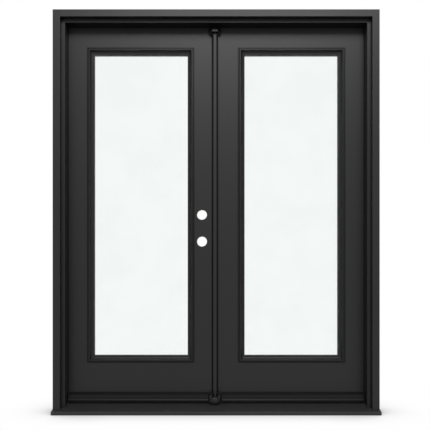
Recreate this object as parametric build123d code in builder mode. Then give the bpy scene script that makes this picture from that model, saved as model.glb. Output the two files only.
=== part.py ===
from build123d import *
import os
from dataclasses import dataclass
from math import atan2, degrees

# Prehung steel double entry door, opening inwards, with full height glazing.
# Units are millimetres. X runs along the wall, Y from outdoors to indoors and Z up.
# The origin is under the middle of the sill, in the plane of the wall's outer face.

# Frame, measured between its stops
opening_width = 1588.0
opening_height = 2051.0
jamb_depth = 115.9
jamb_thickness = 31.75
rabbet_depth = 12.7
kerf_width = 3.2
kerf_depth = 9.5
kerf_setback = 5.0
cut_margin = 1.0

# Brick mould that trims the frame outdoors
brickmould_width = 38.0
brickmould_thickness = 31.75
brickmould_reveal = 19.0
brickmould_round = 2.5

# Sill and adjustable threshold
sill_projection = 18.3
sill_horn = 4.5
nose_height = 18.0
nose_skirt = 3.0
nose_round = 2.0
nose_groove_width = 5.0
nose_groove_depth = 1.0
nose_groove_setback = 7.0
tread_back_height = 40.0
tread_thickness = 2.0
tread_lap = 3.0
threshold_height = 46.0
threshold_thickness = 10.0
threshold_round = 2.5
sill_lip_width = 2.5
sill_lip_height = 43.0
adjuster_count = 6
adjuster_inset = 100.0
adjuster_head_radius = 5.0
adjuster_head_depth = 3.0
adjuster_shaft_radius = 2.5
adjuster_length = 26.0

# Leaves
leaf_thickness = 44.45
leaf_clearance = 3.2
seal_room = 4.75
skin_thickness = 0.76
skin_return = 9.0
stile_width = 28.0
rail_height = 38.0
seal_clearance = 0.3
bulb_round = 1.0

# Glazing of each leaf
lite_side_border = 109.5
lite_top_border = 116.5
lite_foot_border = 197.1
lite_member = 37.0
lite_lap = 15.0
lite_proud = 11.0
lite_edge_height = 2.5
lite_edge_round = 6.5
lite_edge_bulge_across = 0.3
lite_edge_bulge_rise = 0.6
lite_face_width = 9.0
lite_step_width = 2.3
lite_step_bulge_across = 0.75
lite_step_bulge_drop = 0.45
lite_groove_depth = 3.6
lite_groove_width = 3.7
lite_bead_width = 3.1
lite_bead_rise = 1.0
lite_slope_width = 10.0
lite_slope_sink = 6.0
lite_lip_sink = 7.2
lite_leg = 6.0
lite_fit = 0.5
pane_bite = 10.0
pane_thickness = 3.2
pane_gap = 12.7
pane_bedding = 0.4
spacer_width = 7.0

# Lock preparation of the leaf that opens first
lock_backset = 69.85
lock_bore_radius = 27.0
lock_rise = 848.1
deadbolt_rise = 144.0
latch_bore_radius = 12.7
lock_block_height = 330.0
lock_block_border = 3.0

# Hinges
hinge_height = 101.6
hinge_plate_width = 32.0
hinge_plate_thickness = 2.5
hinge_plate_corner = 15.9
hinge_knuckle_radius = 6.35
hinge_pin_radius = 3.15
hinge_running_fit = 0.05
hinge_knuckles = 5
hinge_knuckle_play = 0.2
hinge_face_clearance = 0.5
hinge_from_top = 177.8
hinge_from_bottom = 279.4
pin_head_radius = 5.6
pin_head_height = 3.6
pin_head_bevel = 2.0
pin_tip_height = 4.5
pin_tip_taper = 18.0

# Astragal on the leaf that opens second
astragal_thickness = 9.8
astragal_wing = 7.5
astragal_front_gap = 3.45
astragal_indoor_setback = 3.0
cover_left = -24.0
cover_width = 38.0
cover_edge_thickness = 2.2
cover_ridge_width = 18.0
cover_ridge_height = 6.0
cover_foot_clearance = 2.0
cover_top_clearance = 1.0
strike_pocket_width = 24.0
strike_pocket_height = 34.0
strike_pocket_corner = 3.0

# Flush bolts in the astragal
bolt_radius = 3.2
bolt_running_fit = 0.07
bolt_length = 165.0
bolt_recess = 1.0
bolt_travel = 19.0
bolt_thumb_from_end = 120.0
bolt_thumb_height = 24.0
bolt_thumb_width = 8.0
bolt_thumb_recess = 0.3
bolt_slot_play = 0.4
bolt_hole_radius = 6.35
bolt_hole_extra = 1.5
strike_plate_length = 60.0
strike_plate_width = 25.0
strike_plate_thickness = 1.6

# Blocks that close the ends of the astragal, on the head and on the sill
head_block_width = 48.0
head_block_height = 26.0
head_block_depth = 20.0
sill_block_width = 64.0
sill_block_height = 70.0
sill_block_depth = 36.0
sill_block_clearance = 5.45
sill_block_border = 9.0
sill_block_boss = 5.0
sill_block_boss_taper = 35.0
sill_block_round = 28.0
head_block_round = 14.0
block_centre = -5.0

# Rain drip caps and sweeps along the foot of each leaf
drip_rise = 1.6
drip_height = 37.0
drip_projection = 28.0
drip_slope = 8.0
drip_lip = 3.0
drip_lip_height = 5.0
drip_thickness = 2.0
drip_flange = 14.0
drip_end_clearance = 5.0
sweep_height = 7.6
sweep_base = 2.4
sweep_width = 38.0
sweep_fins = 3
sweep_fin_thickness = 1.6
sweep_fin_inset = 1.82
sweep_inset = 2.0

# Places that follow from the sizes above
stop_half = opening_width / 2
rabbet_half = stop_half + rabbet_depth
frame_half = stop_half + jamb_thickness
shoulder_y = jamb_depth - leaf_thickness - seal_room
head_rabbet_z = opening_height + rabbet_depth
frame_top = opening_height + jamb_thickness
mould_inner_half = stop_half + brickmould_reveal
mould_outer_half = mould_inner_half + brickmould_width
mould_inner_top = opening_height + brickmould_reveal
mould_outer_top = mould_inner_top + brickmould_width

nose_y = -brickmould_thickness - sill_projection
tread_back_y = shoulder_y - tread_lap
tread_slope = (tread_back_height - nose_height) / (tread_back_y - nose_y)
horn_half = mould_outer_half + sill_horn
channel_floor = threshold_height - threshold_thickness
lip_y = jamb_depth - sill_lip_width

leaf_underside = threshold_height + seal_clearance + sweep_height
leaf_front = jamb_depth - leaf_thickness
leaf_middle = jamb_depth - leaf_thickness / 2
leaf_top = head_rabbet_z - leaf_clearance
leaf_height = leaf_top - leaf_underside
leaf_middle_z = (leaf_top + leaf_underside) / 2
lock_edge = (astragal_thickness + leaf_clearance) / 2
hinge_edge = rabbet_half - leaf_clearance
leaf_width = hinge_edge - lock_edge
leaf_centre = (hinge_edge + lock_edge) / 2

lite_frame_width = leaf_width - 2 * lite_side_border
lite_frame_height = leaf_height - lite_top_border - lite_foot_border
lite_middle_z = leaf_underside + lite_foot_border + lite_frame_height / 2
cutout_width = lite_frame_width - 2 * lite_lap
cutout_height = lite_frame_height - 2 * lite_lap
pane_width = lite_frame_width - 2 * (lite_member - pane_bite)
pane_height = lite_frame_height - 2 * (lite_member - pane_bite)
unit_half = pane_gap / 2 + pane_thickness

lock_x = lock_edge + lock_backset
lock_height = leaf_underside + lock_rise
deadbolt_height = lock_height + deadbolt_rise
lock_block_z = (lock_height + deadbolt_height) / 2

pin_x = (hinge_edge + rabbet_half) / 2
pin_y = jamb_depth + hinge_knuckle_radius + hinge_face_clearance
hinge_top_z = leaf_top - hinge_from_top - hinge_height / 2
hinge_foot_z = leaf_underside + hinge_from_bottom + hinge_height / 2
hinge_places = [hinge_foot_z, (hinge_foot_z + hinge_top_z) / 2, hinge_top_z]
hinge_plate_y = jamb_depth - hinge_plate_width / 2

stem_left = lock_edge - astragal_thickness
stem_middle = lock_edge - astragal_thickness / 2
stem_front = leaf_front - astragal_front_gap
stem_back = jamb_depth - astragal_indoor_setback
head_block_foot = opening_height - head_block_height
sill_block_back = leaf_front - sill_block_clearance
sill_block_front = sill_block_back - sill_block_depth
drip_foot = leaf_underside + drip_rise
adjuster_spacing = (opening_width - 2 * adjuster_inset) / (adjuster_count - 1)


@dataclass(frozen=True)
class Leaf:
    """One leaf: its name, the side of the middle line it hangs on and its lock holes."""

    name: str
    side: int
    has_lock: bool

    def across(self, distance):
        """The X of a point that lies this far from the middle line."""
        return self.side * distance


active = Leaf("active", -1, True)
inactive = Leaf("inactive", 1, False)
leaves = [active, inactive]
sides = {"left": -1, "right": 1}


def elevation(y):
    """The upright plane at this Y, with X to the right and Z up, facing outdoors."""
    return Plane.XZ.offset(-y)


def tread_height(y):
    """The height of the tread's upper face at this Y."""
    return nose_height + (y - nose_y) * tread_slope


def under_frame(extra=0.0):
    """The space that the sill and the threshold fill under the jambs, mould and strips."""
    with BuildPart() as space:
        with BuildSketch(Plane.YZ.offset(-horn_half)):
            with BuildLine():
                Polyline(
                    (nose_y, -cut_margin),
                    (nose_y, nose_height + extra),
                    (tread_back_y, tread_back_height + extra),
                    (tread_back_y, threshold_height + extra),
                    (jamb_depth + cut_margin, threshold_height + extra),
                    (jamb_depth + cut_margin, -cut_margin),
                    close=True,
                )
            make_face()
        extrude(amount=2 * horn_half)
    return space.part


def horn_notches():
    """What the wall takes from the ends of the sill, behind the brick mould."""
    depth = jamb_depth + cut_margin
    width = horn_half - frame_half + cut_margin
    with BuildPart() as notches:
        with BuildSketch(Plane.XY):
            for side in sides.values():
                with Locations((side * (frame_half + width / 2), depth / 2)):
                    Rectangle(width, depth)
        extrude(amount=threshold_height)
    return notches.part


def make_jamb(name, side):
    """A rabbeted jamb, cut to the head at its top and to the sill at its foot."""
    sill_space = under_frame()
    with BuildPart() as jamb:
        with BuildSketch(Plane.XY):
            with BuildLine():
                Polyline(
                    (side * stop_half, 0),
                    (side * frame_half, 0),
                    (side * frame_half, jamb_depth),
                    (side * rabbet_half, jamb_depth),
                    (side * rabbet_half, shoulder_y),
                    (side * stop_half, shoulder_y),
                    close=True,
                )
            make_face()
            kerf_x = stop_half + kerf_setback + kerf_width / 2
            with Locations((side * kerf_x, shoulder_y - kerf_depth / 2)):
                Rectangle(kerf_width, kerf_depth, mode=Mode.SUBTRACT)
        extrude(amount=head_rabbet_z)
        with BuildSketch(Plane.YZ.offset(side * stop_half)):
            with Locations((shoulder_y / 2, head_rabbet_z)):
                Rectangle(shoulder_y, 2 * rabbet_depth)
        extrude(amount=side * jamb_thickness, mode=Mode.SUBTRACT)
        add(hinge_mortises(side, rabbet_half, 1), mode=Mode.SUBTRACT)
        add(sill_space, mode=Mode.SUBTRACT)
    jamb.part.label = f"jamb_{name}"
    export_step(jamb.part, f"parts/{jamb.part.label}.step")


def make_head():
    """The head of the frame, its stop, and the strike plate that the top flush bolt enters."""
    with BuildPart() as board:
        with BuildSketch(elevation(0)):
            with Locations((0, (head_rabbet_z + frame_top) / 2)):
                Rectangle(2 * frame_half, frame_top - head_rabbet_z)
        extrude(amount=-jamb_depth)
        with BuildSketch(Plane.XY.offset(head_rabbet_z)):
            with Locations((stem_middle, leaf_middle)):
                SlotOverall(strike_plate_length, strike_plate_width)
        extrude(amount=strike_plate_thickness, mode=Mode.SUBTRACT)
        with BuildSketch(Plane.XY.offset(head_rabbet_z)):
            with Locations((stem_middle, leaf_middle)):
                Circle(bolt_hole_radius)
        extrude(amount=frame_top - head_rabbet_z, mode=Mode.SUBTRACT)
    board.part.label = "jamb_head"
    export_step(board.part, "parts/jamb_head.step")

    with BuildPart() as stop:
        with BuildSketch(Plane.YZ.offset(-frame_half)):
            with Locations((shoulder_y / 2, opening_height + rabbet_depth / 2)):
                Rectangle(shoulder_y, rabbet_depth)
            kerf_z = opening_height + kerf_setback + kerf_width / 2
            with Locations((shoulder_y - kerf_depth / 2, kerf_z)):
                Rectangle(kerf_depth, kerf_width, mode=Mode.SUBTRACT)
        extrude(amount=2 * frame_half)
    stop.part.label = "jamb_head_stop"
    export_step(stop.part, "parts/jamb_head_stop.step")

    with BuildPart() as plate:
        with BuildSketch(Plane.XY.offset(head_rabbet_z)):
            with Locations((stem_middle, leaf_middle)):
                SlotOverall(strike_plate_length, strike_plate_width)
                Circle(bolt_hole_radius, mode=Mode.SUBTRACT)
        extrude(amount=strike_plate_thickness)
    plate.part.label = "bolt_strike_plate"
    export_step(plate.part, "parts/bolt_strike_plate.step")


def bolt_reach_down():
    """The height of the bottom of the lower bolt's hole."""
    return leaf_underside + bolt_recess - bolt_travel - bolt_hole_extra


def make_brickmould_leg(name, side):
    """A leg of the brick mould, mitred at the top and standing on the sill's horn."""
    sill_space = under_frame()
    with BuildPart() as leg:
        with BuildSketch(elevation(0)):
            with BuildLine():
                Polyline(
                    (side * mould_inner_half, 0),
                    (side * mould_outer_half, 0),
                    (side * mould_outer_half, mould_outer_top),
                    (side * mould_inner_half, mould_inner_top),
                    close=True,
                )
            make_face()
        extrude(amount=brickmould_thickness)
        front = leg.edges().filter_by(Axis.Z).group_by(Axis.Y)[0]
        fillet(front, brickmould_round)
        add(sill_space, mode=Mode.SUBTRACT)
    leg.part.label = f"brickmould_{name}"
    export_step(leg.part, f"parts/{leg.part.label}.step")


def make_brickmould_head():
    """The brick mould over the head, mitred at both ends."""
    with BuildPart() as top:
        with BuildSketch(elevation(0)):
            with BuildLine():
                Polyline(
                    (-mould_inner_half, mould_inner_top),
                    (mould_inner_half, mould_inner_top),
                    (mould_outer_half, mould_outer_top),
                    (-mould_outer_half, mould_outer_top),
                    close=True,
                )
            make_face()
        extrude(amount=brickmould_thickness)
        front = top.edges().filter_by(Axis.X).group_by(Axis.Y)[0]
        fillet(front, brickmould_round)
    top.part.label = "brickmould_head"
    export_step(top.part, "parts/brickmould_head.step")


def make_sill():
    """The sill's core, its sloping metal tread and the threshold that the leaves close on."""
    notches = horn_notches()
    lower = tread_thickness * (1 + tread_slope**2) ** 0.5
    core_front = nose_y + tread_thickness
    core_nose_z = tread_height(core_front) - lower
    core_back_z = tread_back_height - lower
    with BuildPart() as core:
        with BuildSketch(Plane.YZ.offset(-horn_half)):
            with BuildLine():
                Polyline(
                    (core_front, 0),
                    (jamb_depth, 0),
                    (jamb_depth, sill_lip_height),
                    (lip_y, sill_lip_height),
                    (lip_y, channel_floor),
                    (tread_back_y, channel_floor),
                    (tread_back_y, core_back_z),
                    (core_front, core_nose_z),
                    close=True,
                )
            make_face()
        extrude(amount=2 * horn_half)
        add(notches, mode=Mode.SUBTRACT)
        with BuildSketch(Plane.XY.offset(channel_floor)):
            with Locations((stem_middle, leaf_middle)):
                Circle(bolt_hole_radius)
        extrude(amount=bolt_reach_down() - channel_floor, mode=Mode.SUBTRACT)
        with BuildSketch(Plane.XY.offset(channel_floor)):
            with Locations(*adjuster_points()):
                Circle(adjuster_shaft_radius)
        adjuster_foot = threshold_height - adjuster_length
        extrude(amount=adjuster_foot - channel_floor, mode=Mode.SUBTRACT)
    core.part.label = "sill_core"
    export_step(core.part, "parts/sill_core.step")

    with BuildPart() as tread:
        with BuildSketch(Plane.YZ.offset(-horn_half)) as section:
            with BuildLine():
                Polyline(
                    (nose_y, nose_skirt),
                    (nose_y, nose_height),
                    (tread_back_y, tread_back_height),
                    (tread_back_y, core_back_z),
                    (core_front, core_nose_z),
                    (core_front, nose_skirt),
                    close=True,
                )
            make_face()
            nose_corner = section.vertices().sort_by_distance((nose_y, nose_height))[0]
            fillet(nose_corner, nose_round)
            groove_y = nose_y + nose_groove_setback
            with Locations((groove_y, tread_height(groove_y))):
                Rectangle(
                    nose_groove_width,
                    2 * nose_groove_depth,
                    rotation=degrees(atan2(tread_slope, 1)),
                    mode=Mode.SUBTRACT,
                )
        extrude(amount=2 * horn_half)
        add(notches, mode=Mode.SUBTRACT)
    tread.part.label = "sill_tread"
    export_step(tread.part, "parts/sill_tread.step")

    with BuildPart() as cap:
        with BuildSketch(Plane.YZ.offset(-frame_half)):
            with Locations(((tread_back_y + lip_y) / 2, channel_floor + threshold_thickness / 2)):
                Rectangle(lip_y - tread_back_y, threshold_thickness)
        extrude(amount=2 * frame_half)
        top_edges = cap.edges().filter_by(Axis.X).group_by(Axis.Z)[-1]
        fillet(top_edges, threshold_round)
        with BuildSketch(Plane.XY.offset(threshold_height)):
            with Locations((stem_middle, leaf_middle)):
                Circle(bolt_hole_radius)
            with Locations(*adjuster_points()):
                Circle(adjuster_shaft_radius)
        extrude(amount=-threshold_thickness, mode=Mode.SUBTRACT)
        with BuildSketch(Plane.XY.offset(threshold_height)):
            with Locations(*adjuster_points()):
                Circle(adjuster_head_radius)
        extrude(amount=-adjuster_head_depth, mode=Mode.SUBTRACT)
    cap.part.label = "threshold_cap"
    export_step(cap.part, "parts/threshold_cap.step")

    with BuildPart() as adjusters:
        with BuildSketch(Plane.XY.offset(threshold_height - adjuster_head_depth)):
            with Locations(*adjuster_points()):
                Circle(adjuster_shaft_radius)
        extrude(amount=adjuster_head_depth - adjuster_length)
        with BuildSketch(Plane.XY.offset(threshold_height - adjuster_head_depth)):
            with Locations(*adjuster_points()):
                Circle(adjuster_head_radius)
        extrude(amount=adjuster_head_depth)
    adjusters.part.label = "threshold_adjusters"
    export_step(adjusters.part, "parts/threshold_adjusters.step")


def adjuster_points():
    """Where the threshold's adjusting screws stand, in plan."""
    first = adjuster_inset - stop_half
    return [(first + adjuster_spacing * n, leaf_middle) for n in range(adjuster_count)]


def make_weatherstrips():
    """Bulb seals, each with a barb pressed into the kerf of its jamb."""
    bulb_depth = leaf_front - shoulder_y - seal_clearance
    bulb_width = rabbet_depth - kerf_width
    bulb_middle = stop_half + (rabbet_depth + kerf_width) / 2 - seal_clearance
    barb_width = kerf_width - 2 * seal_clearance
    barb_depth = kerf_depth - seal_clearance
    sill_space = under_frame(seal_clearance)
    for name, side in sides.items():
        with BuildPart() as strip:
            with BuildSketch(Plane.XY):
                with Locations((side * bulb_middle, shoulder_y + bulb_depth / 2)):
                    RectangleRounded(bulb_width, bulb_depth, bulb_round)
                barb_x = stop_half + kerf_setback + kerf_width / 2
                with Locations((side * barb_x, shoulder_y - barb_depth / 2)):
                    Rectangle(barb_width, barb_depth)
                with Locations((side * barb_x, shoulder_y + bulb_depth / 4)):
                    Rectangle(barb_width, bulb_depth / 2)
            extrude(amount=head_rabbet_z - seal_clearance)
            with BuildSketch(Plane.YZ.offset(side * stop_half)):
                with Locations((shoulder_y / 2, head_rabbet_z)):
                    Rectangle(shoulder_y, 2 * (rabbet_depth + seal_clearance))
            extrude(amount=side * jamb_thickness, mode=Mode.SUBTRACT)
            add(sill_space, mode=Mode.SUBTRACT)
        strip.part.label = f"weatherstrip_{name}"
        export_step(strip.part, f"parts/{strip.part.label}.step")

    reach = bulb_middle - bulb_width / 2 - seal_clearance
    with BuildPart() as strip:
        with BuildSketch(Plane.YZ.offset(-reach)):
            with Locations((shoulder_y + bulb_depth / 2, bulb_middle - stop_half + opening_height)):
                RectangleRounded(bulb_depth, bulb_width, bulb_round)
            barb_z = opening_height + kerf_setback + kerf_width / 2
            with Locations((shoulder_y - barb_depth / 2, barb_z)):
                Rectangle(barb_depth, barb_width)
            with Locations((shoulder_y + bulb_depth / 4, barb_z)):
                Rectangle(bulb_depth / 2, barb_width)
        extrude(amount=2 * reach)
    strip.part.label = "weatherstrip_head"
    export_step(strip.part, "parts/weatherstrip_head.step")


def hinge_mortises(side, face, outward):
    """The shallow beds of three hinge plates in an upright face, to be cut away.

    face is the face's distance from the middle line. outward is 1 for a bed that goes
    deeper away from the middle line and -1 for one that goes deeper towards it.
    """
    with BuildPart() as beds:
        with BuildSketch(Plane.YZ.offset(side * face)) as outline:
            with Locations(*[(hinge_plate_y, z) for z in hinge_places]):
                Rectangle(hinge_plate_width, hinge_height)
            fillet(outline.vertices().group_by(Axis.X)[0], hinge_plate_corner)
        extrude(amount=side * outward * hinge_plate_thickness)
    return beds.part


def make_hinge_plates(name, side, face, outward, knuckle_turn):
    """Three hinge plates with every second knuckle of their barrels."""
    knuckle_height = hinge_height / hinge_knuckles
    plate_middle = face + outward * hinge_plate_thickness / 2
    knuckles = range(knuckle_turn, hinge_knuckles, 2)
    neck = pin_y - jamb_depth
    with BuildPart() as plates:
        with BuildSketch(Plane.YZ.offset(side * face)) as outline:
            with Locations(*[(hinge_plate_y, z) for z in hinge_places]):
                Rectangle(hinge_plate_width, hinge_height)
            fillet(outline.vertices().group_by(Axis.X)[0], hinge_plate_corner)
        extrude(amount=side * outward * hinge_plate_thickness)
        for centre in hinge_places:
            for turn in knuckles:
                foot = centre - hinge_height / 2 + turn * knuckle_height
                with BuildSketch(Plane.XY.offset(foot + hinge_knuckle_play / 2)):
                    with Locations((side * pin_x, pin_y)):
                        Circle(hinge_knuckle_radius)
                    with Locations((side * plate_middle, jamb_depth + neck / 2)):
                        Rectangle(hinge_plate_thickness, neck)
                    with Locations((side * pin_x, pin_y)):
                        Circle(hinge_pin_radius + hinge_running_fit, mode=Mode.SUBTRACT)
                extrude(amount=knuckle_height - hinge_knuckle_play)
    plates.part.label = name
    export_step(plates.part, f"parts/{name}.step")


def make_hinge_pins(name, side):
    """Three loose pins, each with a domed head on top and a rounded tip below."""
    half = hinge_height / 2
    play = hinge_knuckle_play
    with BuildPart() as pins:
        for centre in hinge_places:
            with BuildSketch(Plane.XY.offset(centre - half)):
                with Locations((side * pin_x, pin_y)):
                    Circle(hinge_pin_radius)
            extrude(amount=2 * half + play)
            with BuildSketch(Plane.XY.offset(centre - half)):
                with Locations((side * pin_x, pin_y)):
                    Circle(hinge_pin_radius)
            extrude(amount=-pin_tip_height, taper=pin_tip_taper)
            with BuildSketch(Plane.XY.offset(centre + half + play)):
                with Locations((side * pin_x, pin_y)):
                    Circle(pin_head_radius)
            extrude(amount=pin_head_height)
            chamfer(pins.edges().group_by(Axis.Z)[-1], pin_head_bevel)
    pins.part.label = f"hinge_pins_{name}"
    export_step(pins.part, f"parts/{pins.part.label}.step")


def lite_section(indoors):
    """The closed outline of a lite frame's member, in plan, at the leaf's middle height.

    The outline starts at the outer edge of the member that is nearest to the hinges.
    """
    turn = -1 if indoors else 1
    face = leaf_front if not indoors else jamb_depth
    glass = leaf_middle - turn * (unit_half + pane_bedding)
    meeting = leaf_middle - turn * lite_fit / 2
    edge = lite_frame_width / 2

    def at(inward, rise):
        """A point this far from the member's outer edge and this far proud of the leaf."""
        return (edge - inward, face - turn * rise)

    face_start = lite_edge_round
    face_end = face_start + lite_face_width
    groove_start = face_end + lite_step_width
    groove_end = groove_start + lite_groove_width
    bead_end = groove_end + lite_bead_width
    slope_end = bead_end + lite_slope_width
    groove_floor = lite_proud - lite_groove_depth
    edge_bulge_across = lite_edge_bulge_across * lite_edge_round
    edge_bulge_rise = lite_edge_height + lite_edge_bulge_rise * (lite_proud - lite_edge_height)
    step_bulge_across = face_end + lite_step_bulge_across * lite_step_width
    step_bulge_rise = lite_proud - lite_step_bulge_drop * lite_groove_depth
    leg_outer = edge - lite_lap - lite_fit
    leg_inner = leg_outer - lite_leg
    with BuildSketch(Plane.XY.offset(lite_middle_z)) as section:
        with BuildLine():
            Line(at(0, 0), at(0, lite_edge_height))
            ThreePointArc(
                at(0, lite_edge_height),
                at(edge_bulge_across, edge_bulge_rise),
                at(face_start, lite_proud),
            )
            Line(at(face_start, lite_proud), at(face_end, lite_proud))
            ThreePointArc(
                at(face_end, lite_proud),
                at(step_bulge_across, step_bulge_rise),
                at(groove_start, groove_floor),
            )
            Line(at(groove_start, groove_floor), at(groove_end, groove_floor))
            ThreePointArc(
                at(groove_end, groove_floor),
                at((groove_end + bead_end) / 2, groove_floor + lite_bead_rise),
                at(bead_end, groove_floor),
            )
            Polyline(
                at(bead_end, groove_floor),
                at(slope_end, -lite_slope_sink),
                at(lite_member, -lite_lip_sink),
                (edge - lite_member, glass),
                (leg_inner, glass),
                (leg_inner, meeting),
                (leg_outer, meeting),
                (leg_outer, face),
                at(0, 0),
            )
        make_face()
    return section.sketch


def make_lite_frame(leaf, indoors):
    """A moulded lite frame: one section carried round the glass, with mitred corners."""
    half_width = lite_frame_width / 2
    half_height = lite_frame_height / 2
    section = lite_section(indoors)
    with BuildPart() as frame:
        with BuildLine() as path:
            Polyline(
                (half_width, leaf_middle, lite_middle_z),
                (half_width, leaf_middle, lite_middle_z + half_height),
                (-half_width, leaf_middle, lite_middle_z + half_height),
                (-half_width, leaf_middle, lite_middle_z - half_height),
                (half_width, leaf_middle, lite_middle_z - half_height),
                (half_width, leaf_middle, lite_middle_z),
            )
        sweep(section, path=path.line, transition=Transition.RIGHT)
    placed = frame.part.moved(Location((leaf.across(leaf_centre), 0, 0)))
    placed.label = f"{leaf.name}_lite_frame_{'inner' if indoors else 'outer'}"
    export_step(placed, f"parts/{placed.label}.step")


def make_glazing(leaf):
    """The insulated unit: two panes on a spacer that runs round their edge."""
    middle = (leaf.across(leaf_centre), lite_middle_z)
    outer_face = leaf_middle - unit_half
    panes = {"outer": outer_face, "inner": leaf_middle + pane_gap / 2}
    for name, face in panes.items():
        with BuildPart() as pane:
            with BuildSketch(elevation(face)):
                with Locations(middle):
                    Rectangle(pane_width, pane_height)
            extrude(amount=-pane_thickness)
        pane.part.label = f"{leaf.name}_pane_{name}"
        export_step(pane.part, f"parts/{pane.part.label}.step")
    with BuildPart() as spacer:
        with BuildSketch(elevation(leaf_middle - pane_gap / 2)):
            with Locations(middle):
                Rectangle(pane_width, pane_height)
                Rectangle(
                    pane_width - 2 * spacer_width,
                    pane_height - 2 * spacer_width,
                    mode=Mode.SUBTRACT,
                )
        extrude(amount=-pane_gap)
    spacer.part.label = f"{leaf.name}_glass_spacer"
    export_step(spacer.part, f"parts/{spacer.part.label}.step")


def lock_bores(leaf):
    """The two cross bores and the two edge bores of the lock preparation, to be cut away."""
    with BuildPart() as bores:
        with BuildSketch(elevation(leaf_front)):
            with Locations(
                (leaf.across(lock_x), lock_height),
                (leaf.across(lock_x), deadbolt_height),
            ):
                Circle(lock_bore_radius)
        extrude(amount=-leaf_thickness)
        with BuildSketch(Plane.YZ.offset(leaf.across(lock_edge))):
            with Locations((leaf_middle, lock_height), (leaf_middle, deadbolt_height)):
                Circle(latch_bore_radius)
        extrude(amount=leaf.side * lock_backset)
    return bores.part


def make_skins(leaf):
    """The two steel skins, folded over the hinge edge and the lock edge of the leaf."""
    mortises = hinge_mortises(leaf.side, hinge_edge, -1)
    bores = lock_bores(leaf)
    faces = {"outer": (leaf_front, -1), "inner": (jamb_depth, 1)}
    fold_lines = [hinge_edge - skin_thickness / 2, lock_edge + skin_thickness / 2]
    for name, (face, inwards) in faces.items():
        with BuildPart() as skin:
            with BuildSketch(elevation(face)):
                with Locations((leaf.across(leaf_centre), leaf_middle_z)):
                    Rectangle(leaf_width, leaf_height)
                with Locations((leaf.across(leaf_centre), lite_middle_z)):
                    Rectangle(cutout_width, cutout_height, mode=Mode.SUBTRACT)
            extrude(amount=inwards * skin_thickness)
            with BuildSketch(elevation(face)):
                with Locations(*[(leaf.across(x), leaf_middle_z) for x in fold_lines]):
                    Rectangle(skin_thickness, leaf_height)
            extrude(amount=inwards * skin_return)
            add(mortises, mode=Mode.SUBTRACT)
            if leaf.has_lock:
                add(bores, mode=Mode.SUBTRACT)
        skin.part.label = f"{leaf.name}_skin_{name}"
        export_step(skin.part, f"parts/{skin.part.label}.step")


def make_leaf_frame(leaf):
    """The stiles, rails, lock block and foam core between the skins."""
    mortises = hinge_mortises(leaf.side, hinge_edge, -1)
    bores = lock_bores(leaf)
    front = leaf_front + skin_thickness
    depth = leaf_thickness - 2 * skin_thickness
    hinge_stile_outer = hinge_edge - skin_thickness
    lock_stile_outer = lock_edge + skin_thickness
    hinge_stile_inner = hinge_stile_outer - stile_width
    lock_stile_inner = lock_stile_outer + stile_width
    stiles = {
        "hinge_stile": (hinge_stile_inner, hinge_stile_outer),
        "lock_stile": (lock_stile_outer, lock_stile_inner),
    }
    for name, (near, far) in stiles.items():
        with BuildPart() as stile:
            with BuildSketch(elevation(front)):
                with Locations((leaf.across((near + far) / 2), leaf_middle_z)):
                    Rectangle(far - near, leaf_height)
            extrude(amount=-depth)
            add(mortises, mode=Mode.SUBTRACT)
            if leaf.has_lock:
                add(bores, mode=Mode.SUBTRACT)
        stile.part.label = f"{leaf.name}_{name}"
        export_step(stile.part, f"parts/{stile.part.label}.step")

    span = hinge_stile_inner - lock_stile_inner
    span_middle = leaf.across((hinge_stile_inner + lock_stile_inner) / 2)
    rails = {
        "top_rail": leaf_top - rail_height / 2,
        "bottom_rail": leaf_underside + rail_height / 2,
    }
    for name, middle in rails.items():
        with BuildPart() as rail:
            with BuildSketch(elevation(front)):
                with Locations((span_middle, middle)):
                    Rectangle(span, rail_height)
            extrude(amount=-depth)
        rail.part.label = f"{leaf.name}_{name}"
        export_step(rail.part, f"parts/{rail.part.label}.step")

    block_width = leaf_centre - cutout_width / 2 - lock_stile_inner - lock_block_border
    block_middle = (leaf.across(lock_stile_inner + block_width / 2), lock_block_z)
    with BuildPart() as core:
        with BuildSketch(elevation(front)):
            with Locations((span_middle, leaf_middle_z)):
                Rectangle(span, leaf_height - 2 * rail_height)
            with Locations((leaf.across(leaf_centre), lite_middle_z)):
                Rectangle(cutout_width, cutout_height, mode=Mode.SUBTRACT)
            if leaf.has_lock:
                with Locations(block_middle):
                    Rectangle(block_width, lock_block_height, mode=Mode.SUBTRACT)
        extrude(amount=-depth)
    core.part.label = f"{leaf.name}_core"
    export_step(core.part, f"parts/{core.part.label}.step")

    if leaf.has_lock:
        with BuildPart() as block:
            with BuildSketch(elevation(front)):
                with Locations(block_middle):
                    Rectangle(block_width, lock_block_height)
            extrude(amount=-depth)
            add(bores, mode=Mode.SUBTRACT)
        block.part.label = f"{leaf.name}_lock_block"
        export_step(block.part, f"parts/{block.part.label}.step")


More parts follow.
